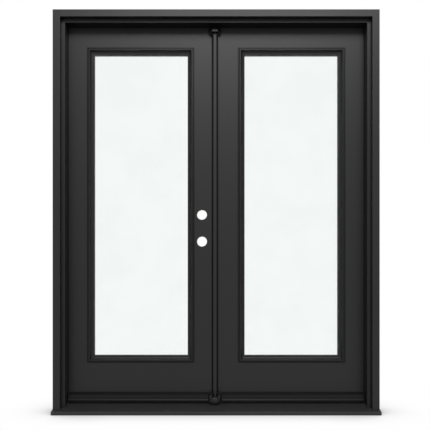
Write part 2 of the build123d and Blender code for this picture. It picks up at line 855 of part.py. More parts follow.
def make_leaf_foot(leaf):
    """The rain drip cap in front of the leaf's foot and the finned sweep under it."""
    start = drip_start(leaf)
    end = stop_half - drip_end_clearance
    drip_front = leaf_front - drip_projection
    top = drip_foot + drip_height
    with BuildPart() as drip:
        with BuildSketch(Plane.YZ.offset(leaf.across(start))):
            with BuildLine():
                bends = Polyline(
                    (leaf_front - drip_thickness / 2, top - drip_flange),
                    (leaf_front - drip_thickness / 2, top),
                    (drip_front, top - drip_slope),
                    (drip_front, drip_foot + drip_lip_height),
                    (drip_front - drip_lip, drip_foot),
                )
            trace(bends, drip_thickness)
        extrude(amount=leaf.side * (end - start))
    drip.part.label = f"{leaf.name}_drip_cap"
    export_step(drip.part, f"parts/{drip.part.label}.step")

    length = leaf_width - 2 * sweep_inset
    fin_foot = threshold_height + seal_clearance
    fin_span = sweep_width - sweep_fin_thickness - 2 * sweep_fin_inset
    fin_spacing = fin_span / (sweep_fins - 1)
    fin_height = leaf_underside - sweep_base - fin_foot
    with BuildPart() as sweep_strip:
        with BuildSketch(Plane.YZ.offset(leaf.across(lock_edge + sweep_inset))):
            with Locations((leaf_middle, leaf_underside - sweep_base / 2)):
                Rectangle(sweep_width, sweep_base)
            with Locations((leaf_middle, fin_foot + fin_height / 2)):
                with GridLocations(fin_spacing, 0, sweep_fins, 1):
                    Rectangle(sweep_fin_thickness, fin_height)
        extrude(amount=leaf.side * length)
    sweep_strip.part.label = f"{leaf.name}_sweep"
    export_step(sweep_strip.part, f"parts/{sweep_strip.part.label}.step")


def drip_start(leaf):
    """How far from the middle line a drip cap starts, clear of the block on the sill."""
    block_edge = leaf.side * block_centre + sill_block_width / 2
    return block_edge + drip_end_clearance


def make_astragal():
    """The astragal: its body on the leaf's edge, its domed cover and its bulb seal."""
    bolt_channels = flush_bolt_channels()
    with BuildPart() as body:
        with BuildSketch(Plane.XY.offset(leaf_underside)):
            with Locations((stem_middle, (leaf_front + stem_back) / 2)):
                Rectangle(astragal_thickness, stem_back - leaf_front)
        extrude(amount=leaf_height)
        with BuildSketch(Plane.XY.offset(cover_foot())):
            wing_middle = (stem_left + lock_edge + astragal_wing) / 2
            with Locations((wing_middle, (stem_front + leaf_front) / 2)):
                Rectangle(astragal_thickness + astragal_wing, astragal_front_gap)
        extrude(amount=cover_top() - cover_foot())
        with BuildSketch(Plane.YZ.offset(stem_left)):
            with Locations((leaf_middle, lock_height), (leaf_middle, deadbolt_height)):
                RectangleRounded(strike_pocket_width, strike_pocket_height, strike_pocket_corner)
        extrude(amount=astragal_thickness, mode=Mode.SUBTRACT)
        add(bolt_channels, mode=Mode.SUBTRACT)
    body.part.label = "astragal_body"
    export_step(body.part, "parts/astragal_body.step")

    cover_right = cover_left + cover_width
    ridge_middle = cover_left + cover_width / 2
    ridge_left = ridge_middle - cover_ridge_width / 2
    ridge_right = ridge_middle + cover_ridge_width / 2
    edge_y = stem_front - cover_edge_thickness
    crown_y = stem_front - cover_ridge_height
    with BuildPart() as cover:
        with BuildSketch(Plane.XY.offset(cover_foot())):
            with BuildLine():
                Polyline(
                    (ridge_left, edge_y),
                    (cover_left, edge_y),
                    (cover_left, stem_front),
                    (cover_right, stem_front),
                    (cover_right, edge_y),
                    (ridge_right, edge_y),
                )
                ThreePointArc((ridge_right, edge_y), (ridge_middle, crown_y), (ridge_left, edge_y))
            make_face()
        extrude(amount=cover_top() - cover_foot())
    cover.part.label = "astragal_cover"
    export_step(cover.part, "parts/astragal_cover.step")

    seal_depth = astragal_front_gap - seal_clearance
    seal_width = -lock_edge - cover_left - 2 * leaf_clearance
    with BuildPart() as seal:
        with BuildSketch(Plane.XY.offset(cover_foot())):
            with Locations((cover_left + leaf_clearance + seal_width / 2, stem_front + seal_depth / 2)):
                RectangleRounded(seal_width, seal_depth, bulb_round)
        extrude(amount=cover_top() - cover_foot())
    seal.part.label = "astragal_seal"
    export_step(seal.part, "parts/astragal_seal.step")


def cover_foot():
    """Where the astragal's cover starts, just over the block on the sill."""
    block_foot = tread_height(sill_block_front)
    return block_foot + sill_block_height + cover_foot_clearance


def cover_top():
    """Where the astragal's cover ends, just under the block on the head."""
    return head_block_foot - cover_top_clearance


def bolt_directions():
    """Each flush bolt's name, the end of the leaf that it leaves and the way that it goes."""
    return {"top": (leaf_top, 1), "bottom": (leaf_underside, -1)}


def flush_bolt_channels():
    """The bored channels and thumb slots of both flush bolts, to be cut away."""
    slot_height = bolt_thumb_height + bolt_travel + 2 * bolt_slot_play
    slot_depth = astragal_thickness / 2
    with BuildPart() as channels:
        for end, way in bolt_directions().values():
            with BuildSketch(Plane.XY.offset(end)):
                with Locations((stem_middle, leaf_middle)):
                    Circle(bolt_radius + bolt_running_fit)
            extrude(amount=-way * (bolt_length + bolt_recess + bolt_slot_play))
            slot_middle = end - way * (bolt_thumb_from_end + bolt_thumb_height / 2 - bolt_travel / 2)
            with BuildSketch(Plane.YZ.offset(stem_left)):
                with Locations((leaf_middle, slot_middle)):
                    Rectangle(bolt_thumb_width + 2 * bolt_slot_play, slot_height)
            extrude(amount=slot_depth)
    return channels.part


def make_flush_bolts():
    """The two sliding bolts, each a rod with a thumb piece, drawn back at rest."""
    for name, (end, way) in bolt_directions().items():
        thumb_middle = end - way * (bolt_thumb_from_end + bolt_thumb_height / 2)
        with BuildPart() as bolt:
            with BuildSketch(Plane.XY.offset(end - way * bolt_recess)):
                with Locations((stem_middle, leaf_middle)):
                    Circle(bolt_radius)
            extrude(amount=-way * bolt_length)
            with BuildSketch(Plane.YZ.offset(stem_left + bolt_thumb_recess)):
                with Locations((leaf_middle, thumb_middle)):
                    Rectangle(bolt_thumb_width, bolt_thumb_height)
            extrude(amount=astragal_thickness / 2 - bolt_thumb_recess)
        bolt.part.label = f"flush_bolt_{name}"
        export_step(bolt.part, f"parts/{bolt.part.label}.step")


def make_end_blocks():
    """The blocks that close both ends of the astragal."""
    back = shoulder_y - leaf_clearance
    with BuildPart() as block:
        with BuildSketch(elevation(back)) as face:
            with Locations((block_centre, opening_height - head_block_height / 2)):
                Rectangle(head_block_width, head_block_height)
            fillet(face.vertices().group_by(Axis.Y)[-1], head_block_round)
        extrude(amount=head_block_depth)
    block.part.label = "astragal_head_block"
    export_step(block.part, "parts/astragal_head_block.step")

    foot = tread_height(sill_block_front)
    sill_space = under_frame()
    with BuildPart() as shield:
        with BuildSketch(elevation(sill_block_back)) as face:
            with Locations((block_centre, foot + sill_block_height / 2)):
                Rectangle(sill_block_width, sill_block_height)
            fillet(face.vertices().group_by(Axis.Y)[0], sill_block_round)
        extrude(amount=sill_block_back - sill_block_front)
        with BuildSketch(elevation(sill_block_front)):
            add(face.sketch.moved(Location((0, sill_block_front - sill_block_back, 0))))
            offset(amount=-sill_block_border)
        extrude(amount=sill_block_boss, taper=sill_block_boss_taper)
        add(sill_space, mode=Mode.SUBTRACT)
    shield.part.label = "astragal_sill_block"
    export_step(shield.part, "parts/astragal_sill_block.step")


def make_all():
    """Builds and writes every piece."""
    os.makedirs("parts", exist_ok=True)
    for name, side in sides.items():
        make_jamb(name, side)
        make_brickmould_leg(name, side)
        make_hinge_plates(f"hinge_plates_jamb_{name}", side, rabbet_half, 1, 0)
        make_hinge_pins(name, side)
    make_head()
    make_brickmould_head()
    make_sill()
    make_weatherstrips()
    for leaf in leaves:
        make_skins(leaf)
        make_leaf_frame(leaf)
        make_lite_frame(leaf, False)
        make_lite_frame(leaf, True)
        make_glazing(leaf)
        make_leaf_foot(leaf)
        make_hinge_plates(f"hinge_plates_{leaf.name}_leaf", leaf.side, hinge_edge, -1, 1)
    make_astragal()
    make_flush_bolts()
    make_end_blocks()


make_all()
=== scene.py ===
import logging
import math
from collections.abc import Callable, Iterable, Sequence
from dataclasses import dataclass, field
from enum import Enum
from typing import Any, Union

import bmesh
import bpy
from bmesh.types import BMEdge, BMesh, BMFace, BMVert
from mathutils import Matrix, Vector


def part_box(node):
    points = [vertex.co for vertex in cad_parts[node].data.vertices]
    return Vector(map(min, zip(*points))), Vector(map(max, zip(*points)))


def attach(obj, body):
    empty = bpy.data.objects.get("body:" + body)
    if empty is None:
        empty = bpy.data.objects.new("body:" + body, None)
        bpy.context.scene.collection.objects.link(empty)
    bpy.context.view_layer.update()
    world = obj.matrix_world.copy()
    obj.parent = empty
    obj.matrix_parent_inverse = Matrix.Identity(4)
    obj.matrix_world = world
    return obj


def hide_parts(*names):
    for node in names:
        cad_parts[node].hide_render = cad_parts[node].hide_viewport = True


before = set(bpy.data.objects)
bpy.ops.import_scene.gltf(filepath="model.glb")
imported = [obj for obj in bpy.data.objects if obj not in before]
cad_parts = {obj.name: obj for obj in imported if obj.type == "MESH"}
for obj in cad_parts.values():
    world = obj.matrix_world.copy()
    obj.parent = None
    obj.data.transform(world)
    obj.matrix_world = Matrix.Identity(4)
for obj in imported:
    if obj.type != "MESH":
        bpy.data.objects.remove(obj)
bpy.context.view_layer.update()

log = logging.getLogger("entry_door")

Colour = tuple[float, float, float]
Pair = tuple[float, float]
Point = tuple[float, float, float]
Piece = bpy.types.Object
Socket = bpy.types.NodeSocket

MM = 0.001
WELD = 0.00001
SHARP_ANGLE = math.radians(32.0)
MIDDLE = 0.5
DECIMALS = 7
MIX_SHARE, MIX_FIRST, MIX_SECOND, MIX_RESULT = 0, 6, 7, 2
SIDES = ("left", "right")
LEAVES = ("active", "inactive")


class Axis(Enum):
    """The way that a board's grain or a profile's die lines run."""

    ACROSS = 0
    UPRIGHT = 2


@dataclass(frozen=True)
class Noise:
    """Cloudy noise: its features to a metre, its finer layers and how strong they are."""

    per_metre: float
    layers: float = 2.0
    layer_strength: float = 0.5


@dataclass(frozen=True)
class Relief:
    """A bump: its full depth in metres, and how much of it is kept."""

    depth: float
    strength: float


def operator(operation: str, reflected: bool = False) -> Callable[..., "Number"]:
    """Makes a method of Number that adds one Math node.

    Args:
        operation: the node's operation.
        reflected: whether the number stands on the right.

    Returns:
        The method.
    """

    def method(number: "Number", *others: "Operand") -> "Number":
        """Adds the node.

        Args:
            number: the number.
            others: what it is added to, multiplied by or held against.

        Returns:
            The result.
        """
        values = (*others, number) if reflected else (number, *others)
        made = number.sheet.node(
            "ShaderNodeMath", {"operation": operation}, dict(enumerate(values))
        )
        return Number(number.sheet, made.outputs[0])

    return method


class Number:
    """A float socket of a material, on which sums are written as plain Python."""

    def __init__(self, sheet: "Sheet", socket: Socket) -> None:
        """Wraps the output socket that holds the number."""
        self.sheet = sheet
        self.socket = socket

    __add__, __radd__ = operator("ADD"), operator("ADD", reflected=True)
    __sub__, __rsub__ = operator("SUBTRACT"), operator("SUBTRACT", reflected=True)
    __mul__, __rmul__ = operator("MULTIPLY"), operator("MULTIPLY", reflected=True)
    __abs__ = operator("ABSOLUTE")
    fraction = operator("FRACT")
    at_least = operator("MAXIMUM")
    at_most = operator("MINIMUM")

    def mask(self, start: float, end: float) -> "Number":
        """A smooth mask that rises from 0 at start to 1 at end.

        Args:
            start: the value at which the mask is 0.
            end: the value at which it is 1, which may be the lower of the two.

        Returns:
            The mask.
        """
        span = {"From Min": min(start, end), "From Max": max(start, end)}
        if start > end:
            span.update({"To Min": 1.0, "To Max": 0.0})
        made = self.sheet.node(
            "ShaderNodeMapRange",
            {"interpolation_type": "SMOOTHSTEP"},
            {"Value": self, **span},
        )
        return Number(self.sheet, made.outputs["Result"])

    def bands(self, count: float) -> "Number":
        """So many bands to a step of 1, which rise and fall between 0 and 1."""
        return abs((self * count).fraction() - MIDDLE) * 2.0

    def mixed(self, other: "Number", share: float) -> "Number":
        """This pattern with another, which makes up a share of the result."""
        return self * (1.0 - share) + other * share


Operand = Union[Number, float]


class Sheet:
    """The nodes of one material, or of the world."""

    def __init__(self, owner: bpy.types.Material | bpy.types.World) -> None:
        """Starts the nodes of a material or of the world, with none in them.

        Args:
            owner: the material or the world.
        """
        self.owner = owner
        owner.use_nodes = True
        self.tree = owner.node_tree
        self.tree.nodes.clear()
        kind = "World" if isinstance(owner, bpy.types.World) else "Material"
        self.output = self.node(f"ShaderNodeOutput{kind}")
        self.place = self.node("ShaderNodeTexCoord").outputs["Object"]

    def node(
        self,
        kind: str,
        settings: dict[str, Any] | None = None,
        inputs: dict[Any, Any] | None = None,
    ) -> bpy.types.Node:
        """Adds a node.

        Args:
            kind: the node's type.
            settings: its properties.
            inputs: the value, socket or Number of each input, by name or index.

        Returns:
            The node.
        """
        made = self.tree.nodes.new(kind)
        for key, value in (settings or {}).items():
            setattr(made, key, value)
        for key, value in (inputs or {}).items():
            source = value.socket if isinstance(value, Number) else value
            if isinstance(source, Socket):
                self.tree.links.new(source, made.inputs[key])
            else:
                made.inputs[key].default_value = source
        return made

    def depth(self) -> Number:
        """The Y of the object coordinates."""
        split = self.node("ShaderNodeSeparateXYZ", None, {0: self.place})
        return Number(self, split.outputs["Y"])

    def drawn_out(self, axis: Axis, across: float, along: float) -> Socket:
        """Object coordinates that draw a pattern out along an axis.

        Args:
            axis: the way that the pattern runs.
            across: the pattern's features to a metre across it.
            along: the features to a metre along it.

        Returns:
            The vector.
        """
        scale = [across] * 3
        scale[axis.value] = along
        made = self.node(
            "ShaderNodeMapping", {"vector_type": "POINT"}, {"Vector": self.place, "Scale": scale}
        )
        return made.outputs["Vector"]

    def noise(self, noise: Noise, vector: Socket | None = None) -> Number:
        """Cloudy noise from 0 to 1.

        Args:
            noise: what it is like.
            vector: the coordinates, if they aren't the object's own.

        Returns:
            The noise.
        """
        inputs = {
            "Vector": vector or self.place,
            "Scale": noise.per_metre,
            "Detail": noise.layers,
            "Roughness": noise.layer_strength,
        }
        return Number(self, self.node("ShaderNodeTexNoise", None, inputs).outputs[0])

    def cells(self, per_metre: float) -> Number:
        """The distance to the nearest of many scattered points, in cells."""
        inputs = {"Vector": self.place, "Scale": per_metre}
        return Number(self, self.node("ShaderNodeTexVoronoi", None, inputs).outputs[0])

    def blend(self, share: Operand, first: Socket | Colour, second: Socket | Colour) -> Socket:
        """A mix of two colours.

        Args:
            share: how much of the second colour there is.
            first: the colour at 0.
            second: the colour at 1.

        Returns:
            The mixed colour.
        """
        ends = [rgba(end) if isinstance(end, tuple) else end for end in (first, second)]
        inputs = {MIX_SHARE: share, MIX_FIRST: ends[0], MIX_SECOND: ends[1]}
        return self.node("ShaderNodeMix", {"data_type": "RGBA"}, inputs).outputs[MIX_RESULT]

    def bump(self, height: Number, relief: Relief) -> Socket:
        """A normal that is bumped by a height from 0 to 1."""
        inputs = {"Height": height, "Distance": relief.depth, "Strength": relief.strength}
        return self.node("ShaderNodeBump", None, inputs).outputs["Normal"]

    def end_in(self, shader: bpy.types.Node) -> None:
        """Ends the nodes in a shader."""
        self.tree.links.new(shader.outputs[0], self.output.inputs["Surface"])

    def looked_at(self) -> Number:
        """Tells the rays that are looked along from those that light the scene.

        Returns:
            1 for a ray from the camera, through glass or off a glossy surface, and otherwise 0.
        """
        path = self.node("ShaderNodeLightPath")
        kinds = ("Is Camera Ray", "Is Transmission Ray", "Is Glossy Ray")
        camera, through, mirrored = (Number(self, path.outputs[kind]) for kind in kinds)
        return camera.at_least(through).at_least(mirrored)


def rgba(colour: Colour) -> tuple[float, float, float, float]:
    """A colour with full opacity."""
    return (*colour, 1.0)


def grey(level: float) -> Colour:
    """A plain grey."""
    return (level, level, level)


def shade(colour: Colour, times: float) -> Colour:
    """A colour that is so many times as bright."""
    red, green, blue = colour
    return (red * times, green * times, blue * times)


@dataclass(frozen=True)
class Finish:
    """A finish: its name, colour, roughness and mirroring, and how much it varies.

    The tones are the brightnesses beside the colour that a pattern runs between, the contrast is
    where the pattern starts and ends, and the spread is how much the roughness varies.
    """

    name: str
    colour: Colour
    roughness: float
    specular: float = 0.5
    metallic: float = 0.0
    tones: Pair = (1.0, 1.0)
    contrast: Pair = (0.3, 0.7)
    spread: float = 0.0

    def material(self) -> bpy.types.Material:
        """Makes the material.

        Returns:
            The material.
        """
        sheet = Sheet(bpy.data.materials.new(self.name))
        fixed = {"Specular IOR Level": self.specular, "Metallic": self.metallic}
        inputs = fixed | self.sockets(sheet)
        sheet.end_in(sheet.node("ShaderNodeBsdfPrincipled", None, inputs))
        return sheet.owner

    def sockets(self, sheet: Sheet) -> dict[str, Any]:
        """What the shader's sockets are given."""
        raise NotImplementedError

    def toned(self, sheet: Sheet, share: Number) -> Socket:
        """The finish's colour, varied from its first tone to its second."""
        first, second = (shade(self.colour, tone) for tone in self.tones)
        return sheet.blend(share, first, second)

    def rough(self, pattern: Number) -> Number:
        """The finish's roughness, varied with a pattern."""
        return self.roughness + (pattern - MIDDLE) * self.spread


@dataclass(frozen=True)
class SprayedPaint(Finish):
    """Satin paint sprayed on a steel skin: a fine orange peel and a faint cloud."""

    specular: float = 0.38
    tones: Pair = (0.93, 1.07)
    spread: float = 0.12
    cloud: Noise = Noise(3.2, 3.0)
    mottle: Noise = Noise(60.0, 4.0, 0.6)
    mottle_share: float = 0.3
    peel: Noise = Noise(420.0, 2.0, 0.45)
    relief: Relief = Relief(0.04 * MM, 0.5)

    def sockets(self, sheet: Sheet) -> dict[str, Any]:
        """Lays the paint's cloud, mottle and peel.

        Args:
            sheet: the material's nodes.

        Returns:
            What the shader's sockets are given.
        """
        mottle = sheet.noise(self.mottle)
        share = sheet.noise(self.cloud).mixed(mottle, self.mottle_share)
        return {
            "Base Color": self.toned(sheet, share.mask(*self.contrast)),
            "Roughness": self.rough(mottle),
            "Normal": sheet.bump(sheet.noise(self.peel), self.relief),
        }


@dataclass(frozen=True)
class PaintedBoard(Finish):
    """Paint on a planed board, with the raised grain still faintly there."""

    specular: float = 0.38
    tones: Pair = (0.92, 1.08)
    contrast: Pair = (0.32, 0.68)
    spread: float = 0.16
    along: Axis = Axis.UPRIGHT
    grain: Noise = Noise(1.0, 4.0, 0.62)
    grain_across: float = 190.0
    grain_along: float = 5.0
    grain_share: float = 0.4
    cloud: Noise = Noise(2.6, 3.0)
    brush: Noise = Noise(900.0, 1.0)
    brush_share: float = 0.2
    relief: Relief = Relief(0.12 * MM, 0.55)

    def sockets(self, sheet: Sheet) -> dict[str, Any]:
        """Lays the paint's cloud and brush marks over the grain.

        Args:
            sheet: the material's nodes.

        Returns:
            What the shader's sockets are given.
        """
        drawn = sheet.drawn_out(self.along, self.grain_across, self.grain_along)
        grain = sheet.noise(self.grain, drawn)
        share = sheet.noise(self.cloud).mixed(grain, self.grain_share)
        height = grain.mixed(sheet.noise(self.brush), self.brush_share)
        return {
            "Base Color": self.toned(sheet, share.mask(*self.contrast)),
            "Roughness": self.rough(grain),
            "Normal": sheet.bump(height, self.relief),
        }


@dataclass(frozen=True)
class MouldedResin(Finish):
    """A moulded plastic with a fine spark-eroded texture."""

    specular: float = 0.38
    tones: Pair = (0.94, 1.06)
    contrast: Pair = (0.35, 0.65)
    spread: float = 0.14
    stipple_per_metre: float = 1500.0
    fine: Noise = Noise(2600.0, 1.0)
    fine_share: float = 0.3
    cloud: Noise = Noise(9.0, 3.0)
    relief: Relief = Relief(0.05 * MM, 0.5)

    def sockets(self, sheet: Sheet) -> dict[str, Any]:
        """Lays the resin's cloud and stipple.

        Args:
            sheet: the material's nodes.

        Returns:
            What the shader's sockets are given.
        """
        stipple = sheet.cells(self.stipple_per_metre).at_most(1.0)
        cloud = sheet.noise(self.cloud)
        height = stipple.mixed(sheet.noise(self.fine), self.fine_share)
        return {
            "Base Color": self.toned(sheet, cloud.mask(*self.contrast)),
            "Roughness": self.rough(cloud),
            "Normal": sheet.bump(height, self.relief),
        }


@dataclass(frozen=True)
class ExtrudedMetal(Finish):
    """Coated aluminium with the faint die lines of its extrusion."""

    specular: float = 0.44
    tones: Pair = (0.9, 1.1)
    spread: float = 0.18
    along: Axis = Axis.ACROSS
    lines: Noise = Noise(1.0, 3.0, 0.6)
    lines_across: float = 1400.0
    lines_along: float = 3.0
    dust: Noise = Noise(24.0, 5.0, 0.65)
    dust_share: float = 0.5
    dust_spread: float = 0.1
    relief: Relief = Relief(0.03 * MM, 0.6)

    def sockets(self, sheet: Sheet) -> dict[str, Any]:
        """Lays the metal's die lines and the dust on them.

        Args:
            sheet: the material's nodes.

        Returns:
            What the shader's sockets are given.
        """
        drawn = sheet.drawn_out(self.along, self.lines_across, self.lines_along)
        lines = sheet.noise(self.lines, drawn)
        dust = sheet.noise(self.dust)
        share = lines.mixed(dust, self.dust_share).mask(*self.contrast)
        return {
            "Base Color": self.toned(sheet, share),
            "Roughness": self.rough(lines) + (dust - MIDDLE) * self.dust_spread,
            "Normal": sheet.bump(lines, self.relief),
        }


@dataclass(frozen=True)
class WornSteel(Finish):
    """Blackened or plated steel, brushed a little and rubbed brighter in places."""

    metallic: float = 0.85
    tones: Pair = (0.86, 1.14)
    contrast: Pair = (0.56, 0.74)
    spread: float = 0.14
    worn: Colour = (0.2, 0.19, 0.18)
    wear: float = 0.35
    polish: float = 0.12
    brush: Noise = Noise(1.0, 3.0, 0.6)
    brush_across: float = 1100.0
    brush_along: float = 90.0
    patch: Noise = Noise(140.0, 4.0, 0.6)
    patch_share: float = 0.3
    relief: Relief = Relief(0.03 * MM, 0.5)

    def sockets(self, sheet: Sheet) -> dict[str, Any]:
        """Lays the steel's brushing and its rubbed patches.

        Args:
            sheet: the material's nodes.

        Returns:
            What the shader's sockets are given.
        """
        drawn = sheet.drawn_out(Axis.UPRIGHT, self.brush_across, self.brush_along)
        brush = sheet.noise(self.brush, drawn)
        patch = sheet.noise(self.patch)
        rubbed = patch.mask(*self.contrast) * self.wear
        return {
            "Base Color": sheet.blend(rubbed, self.toned(sheet, brush), self.worn),
            "Roughness": self.rough(brush) - rubbed * self.polish,
            "Normal": sheet.bump(brush.mixed(patch, self.patch_share), self.relief),
        }


@dataclass(frozen=True)
class SoftSeal(Finish):
    """A dull rubber or foam skin with a faint bloom and a fine pore."""

    specular: float = 0.1
    tones: Pair = (1.0, 1.5)
    contrast: Pair = (0.45, 0.8)
    spread: float = 0.12
    pores_per_metre: float = 1800.0
    bloom: Noise = Noise(34.0, 4.0, 0.6)
    relief: Relief = Relief(0.05 * MM, 0.6)

    def sockets(self, sheet: Sheet) -> dict[str, Any]:
        """Lays the seal's bloom and pores.

        Args:
            sheet: the material's nodes.

        Returns:
            What the shader's sockets are given.
        """
        bloom = sheet.noise(self.bloom)
        pores = sheet.cells(self.pores_per_metre).at_most(1.0)
        return {
            "Base Color": self.toned(sheet, bloom.mask(*self.contrast)),
            "Roughness": self.rough(bloom),
            "Normal": sheet.bump(pores, self.relief),
        }


@dataclass(frozen=True)
class PlanedTimber(Finish):
    """Bare planed softwood with its rings drawn out along the board, or plies of it."""

    specular: float = 0.3
    contrast: Pair = (0.35, 0.95)
    spread: float = 0.2
    dark: Colour = (0.35, 0.21, 0.1)
    along: Axis = Axis.UPRIGHT
    plies_per_metre: float = 0.0
    glue: Pair = (0.86, 0.97)
    grain_across: float = 42.0
    grain_along: float = 1.6
    bend: Noise = Noise(0.6, 3.0, 0.55)
    fibre: Noise = Noise(9.0, 4.0, 0.65)
    fibre_share: float = 0.4
    rings: float = 9.0
    ring_share: float = 0.4
    relief: Relief = Relief(0.15 * MM, 0.6)

    def sockets(self, sheet: Sheet) -> dict[str, Any]:
        """Lays the timber's fibre and its rings or plies.

        Args:
            sheet: the material's nodes.

        Returns:
            What the shader's sockets are given.
        """
        drawn = sheet.drawn_out(self.along, self.grain_across, self.grain_along)
        fibre = sheet.noise(self.fibre, drawn)
        late = sheet.noise(self.bend, drawn).bands(self.rings).mask(*self.contrast)
        share = late.mixed(fibre, self.fibre_share)
        if self.plies_per_metre:
            glue = sheet.depth().bands(self.plies_per_metre).mask(*self.glue)
            share = (share + glue).at_most(1.0)
        return {
            "Base Color": sheet.blend(share, self.colour, self.dark),
            "Roughness": self.rough(fibre),
            "Normal": sheet.bump(fibre.mixed(late, self.ring_share), self.relief),
        }


@dataclass(frozen=True)
class CellFoam(Finish):
    """Rigid insulating foam, cut through its cells."""

    specular: float = 0.2
    tones: Pair = (1.0, 0.72)
    contrast: Pair = (0.2, 0.8)
    spread: float = 0.1
    cells_per_metre: float = 900.0
    cloud: Noise = Noise(22.0, 4.0, 0.6)
    cloud_share: float = 0.4
    relief: Relief = Relief(0.3 * MM, 0.8)

    def sockets(self, sheet: Sheet) -> dict[str, Any]:
        """Lays the foam's cells and cloud.

        Args:
            sheet: the material's nodes.

        Returns:
            What the shader's sockets are given.
        """
        cells = sheet.cells(self.cells_per_metre)
        cloud = sheet.noise(self.cloud)
        share = cells.mask(*self.contrast).mixed(cloud, self.cloud_share)
        return {
            "Base Color": self.toned(sheet, share),
            "Roughness": self.rough(cloud),
            "Normal": sheet.bump(cells.at_most(1.0), self.relief),
        }


@dataclass(frozen=True)
class FloatGlass(Finish):
    """A clear pane with the faintest smear of handling on it."""

    tones: Pair = (1.0, 0.985)
    contrast: Pair = (0.3, 0.75)
    ior: float = 1.5
    smear: Noise = Noise(5.0, 4.0, 0.6)
    smear_ends: Pair = (0.5, 0.9)
    smear_roughness: float = 0.01
    dust: Noise = Noise(700.0, 2.0)
    dust_ends: Pair = (0.62, 0.8)
    dust_roughness: float = 0.006

    def sockets(self, sheet: Sheet) -> dict[str, Any]:
        """Lays the smears and the dust on the glass.

        Args:
            sheet: the material's nodes.

        Returns:
            What the shader's sockets are given.
        """
        smear = sheet.noise(self.smear)
        dull = smear.mask(*self.smear_ends) * self.smear_roughness
        dust = sheet.noise(self.dust).mask(*self.dust_ends) * self.dust_roughness
        return {
            "Base Color": self.toned(sheet, smear.mask(*self.contrast)),
            "Roughness": self.roughness + dull + dust,
            "IOR": self.ior,
            "Transmission Weight": 1.0,
        }


@dataclass(frozen=True)
class PerforatedBar(Finish):
    """The bent metal bar between two panes, with a row of breathing holes."""

    metallic: float = 0.7
    tones: Pair = (0.85, 1.15)
    contrast: Pair = (0.22, 0.12)
    spread: float = 0.15
    pitch: float = 4.0 * MM
    hole: Colour = grey(0.01)
    hole_strength: float = 0.8
    fine: Noise = Noise(1200.0, 2.0)
    cloud: Noise = Noise(30.0, 3.0)
    relief: Relief = Relief(0.03 * MM, 0.5)

    def sockets(self, sheet: Sheet) -> dict[str, Any]:
        """Lays the bar's brushing and its holes.

        Args:
            sheet: the material's nodes.

        Returns:
            What the shader's sockets are given.
        """
        fine = sheet.noise(self.fine)
        tone = self.toned(sheet, sheet.noise(self.cloud))
        holes = sheet.cells(1.0 / self.pitch).mask(*self.contrast) * self.hole_strength
        return {
            "Base Color": sheet.blend(holes, tone, self.hole),
            "Roughness": self.rough(fine),
            "Normal": sheet.bump(fine, self.relief),
        }


PAINT = (0.012, 0.012, 0.0122)


@dataclass(frozen=True)
class Palette:
    """Every finish of the door."""

    skin: Finish = SprayedPaint("skin_paint", PAINT, 0.47)
    leaf_edge: Finish = PaintedBoard("leaf_edge_paint", PAINT, 0.52)
    board_upright: Finish = PaintedBoard("board_paint_upright", PAINT, 0.47)
    board_across: Finish = PaintedBoard("board_paint_across", PAINT, 0.47, along=Axis.ACROSS)
    moulding: Finish = MouldedResin("lite_frame_resin", (0.011, 0.011, 0.0112), 0.42, 0.28)
    block: Finish = MouldedResin("end_block_nylon", PAINT, 0.46, stipple_per_metre=900.0)
    cover: Finish = ExtrudedMetal(
        "astragal_coating", (0.014, 0.014, 0.0143), 0.48, 0.38, along=Axis.UPRIGHT
    )
    # The drip cap's coating is darker than the astragal's like coating: partly painted shade, for
    # the shade at the foot of the leaf.
    drip: Finish = ExtrudedMetal("drip_cap_coating_painted_shade", (0.008, 0.008, 0.0082), 0.45, 0.24)
    # The tread's coating is lighter than the other black coatings: partly painted light, for the
    # light from above on its flat top.
    tread: Finish = ExtrudedMetal("tread_coating_painted_light", (0.04, 0.04, 0.0405), 0.42)
    threshold: Finish = MouldedResin(
        "threshold_composite",
        (0.035, 0.031, 0.028),
        0.55,
        stipple_per_metre=500.0,
        relief=Relief(0.1 * MM, 0.5),
    )
    sill_core: Finish = MouldedResin(
        "sill_core_composite",
        (0.05, 0.047, 0.043),
        0.6,
        stipple_per_metre=300.0,
        relief=Relief(0.2 * MM, 0.5),
    )
    hinge: Finish = WornSteel("hinge_steel", (0.045, 0.042, 0.04), 0.4)
    pin: Finish = WornSteel(
        "pin_steel", (0.075, 0.07, 0.066), 0.32, worn=(0.3, 0.29, 0.28), wear=0.6
    )
    bolt: Finish = WornSteel(
        "bolt_steel", (0.42, 0.42, 0.41), 0.3, metallic=1.0, worn=(0.6, 0.6, 0.59), wear=0.4
    )
    plate: Finish = WornSteel(
        "zinc_plate", (0.5, 0.49, 0.45), 0.34, metallic=1.0, worn=(0.62, 0.6, 0.54), wear=0.4
    )
    # The seal rubber is darker than black rubber is: partly its own black, partly painted shade for
    # the grooves and recesses it sits in.
    seal: Finish = SoftSeal("seal_rubber_painted_shade", (0.006, 0.006, 0.0062), 0.7)
    sweep: Finish = SoftSeal("sweep_vinyl", (0.018, 0.018, 0.0185), 0.6, pores_per_metre=2600.0)
    timber: Finish = PlanedTimber("rail_timber", (0.56, 0.38, 0.21), 0.62, along=Axis.ACROSS)
    lock_block: Finish = PlanedTimber(
        "lock_block_ply", (0.5, 0.34, 0.19), 0.62, plies_per_metre=320.0
    )
    foam: Finish = CellFoam("core_foam", (0.74, 0.66, 0.42), 0.85)
    glass: Finish = FloatGlass("float_glass", (0.95, 0.967, 0.96), 0.0)
    spacer: Finish = PerforatedBar("spacer_bar", grey(0.12), 0.4)


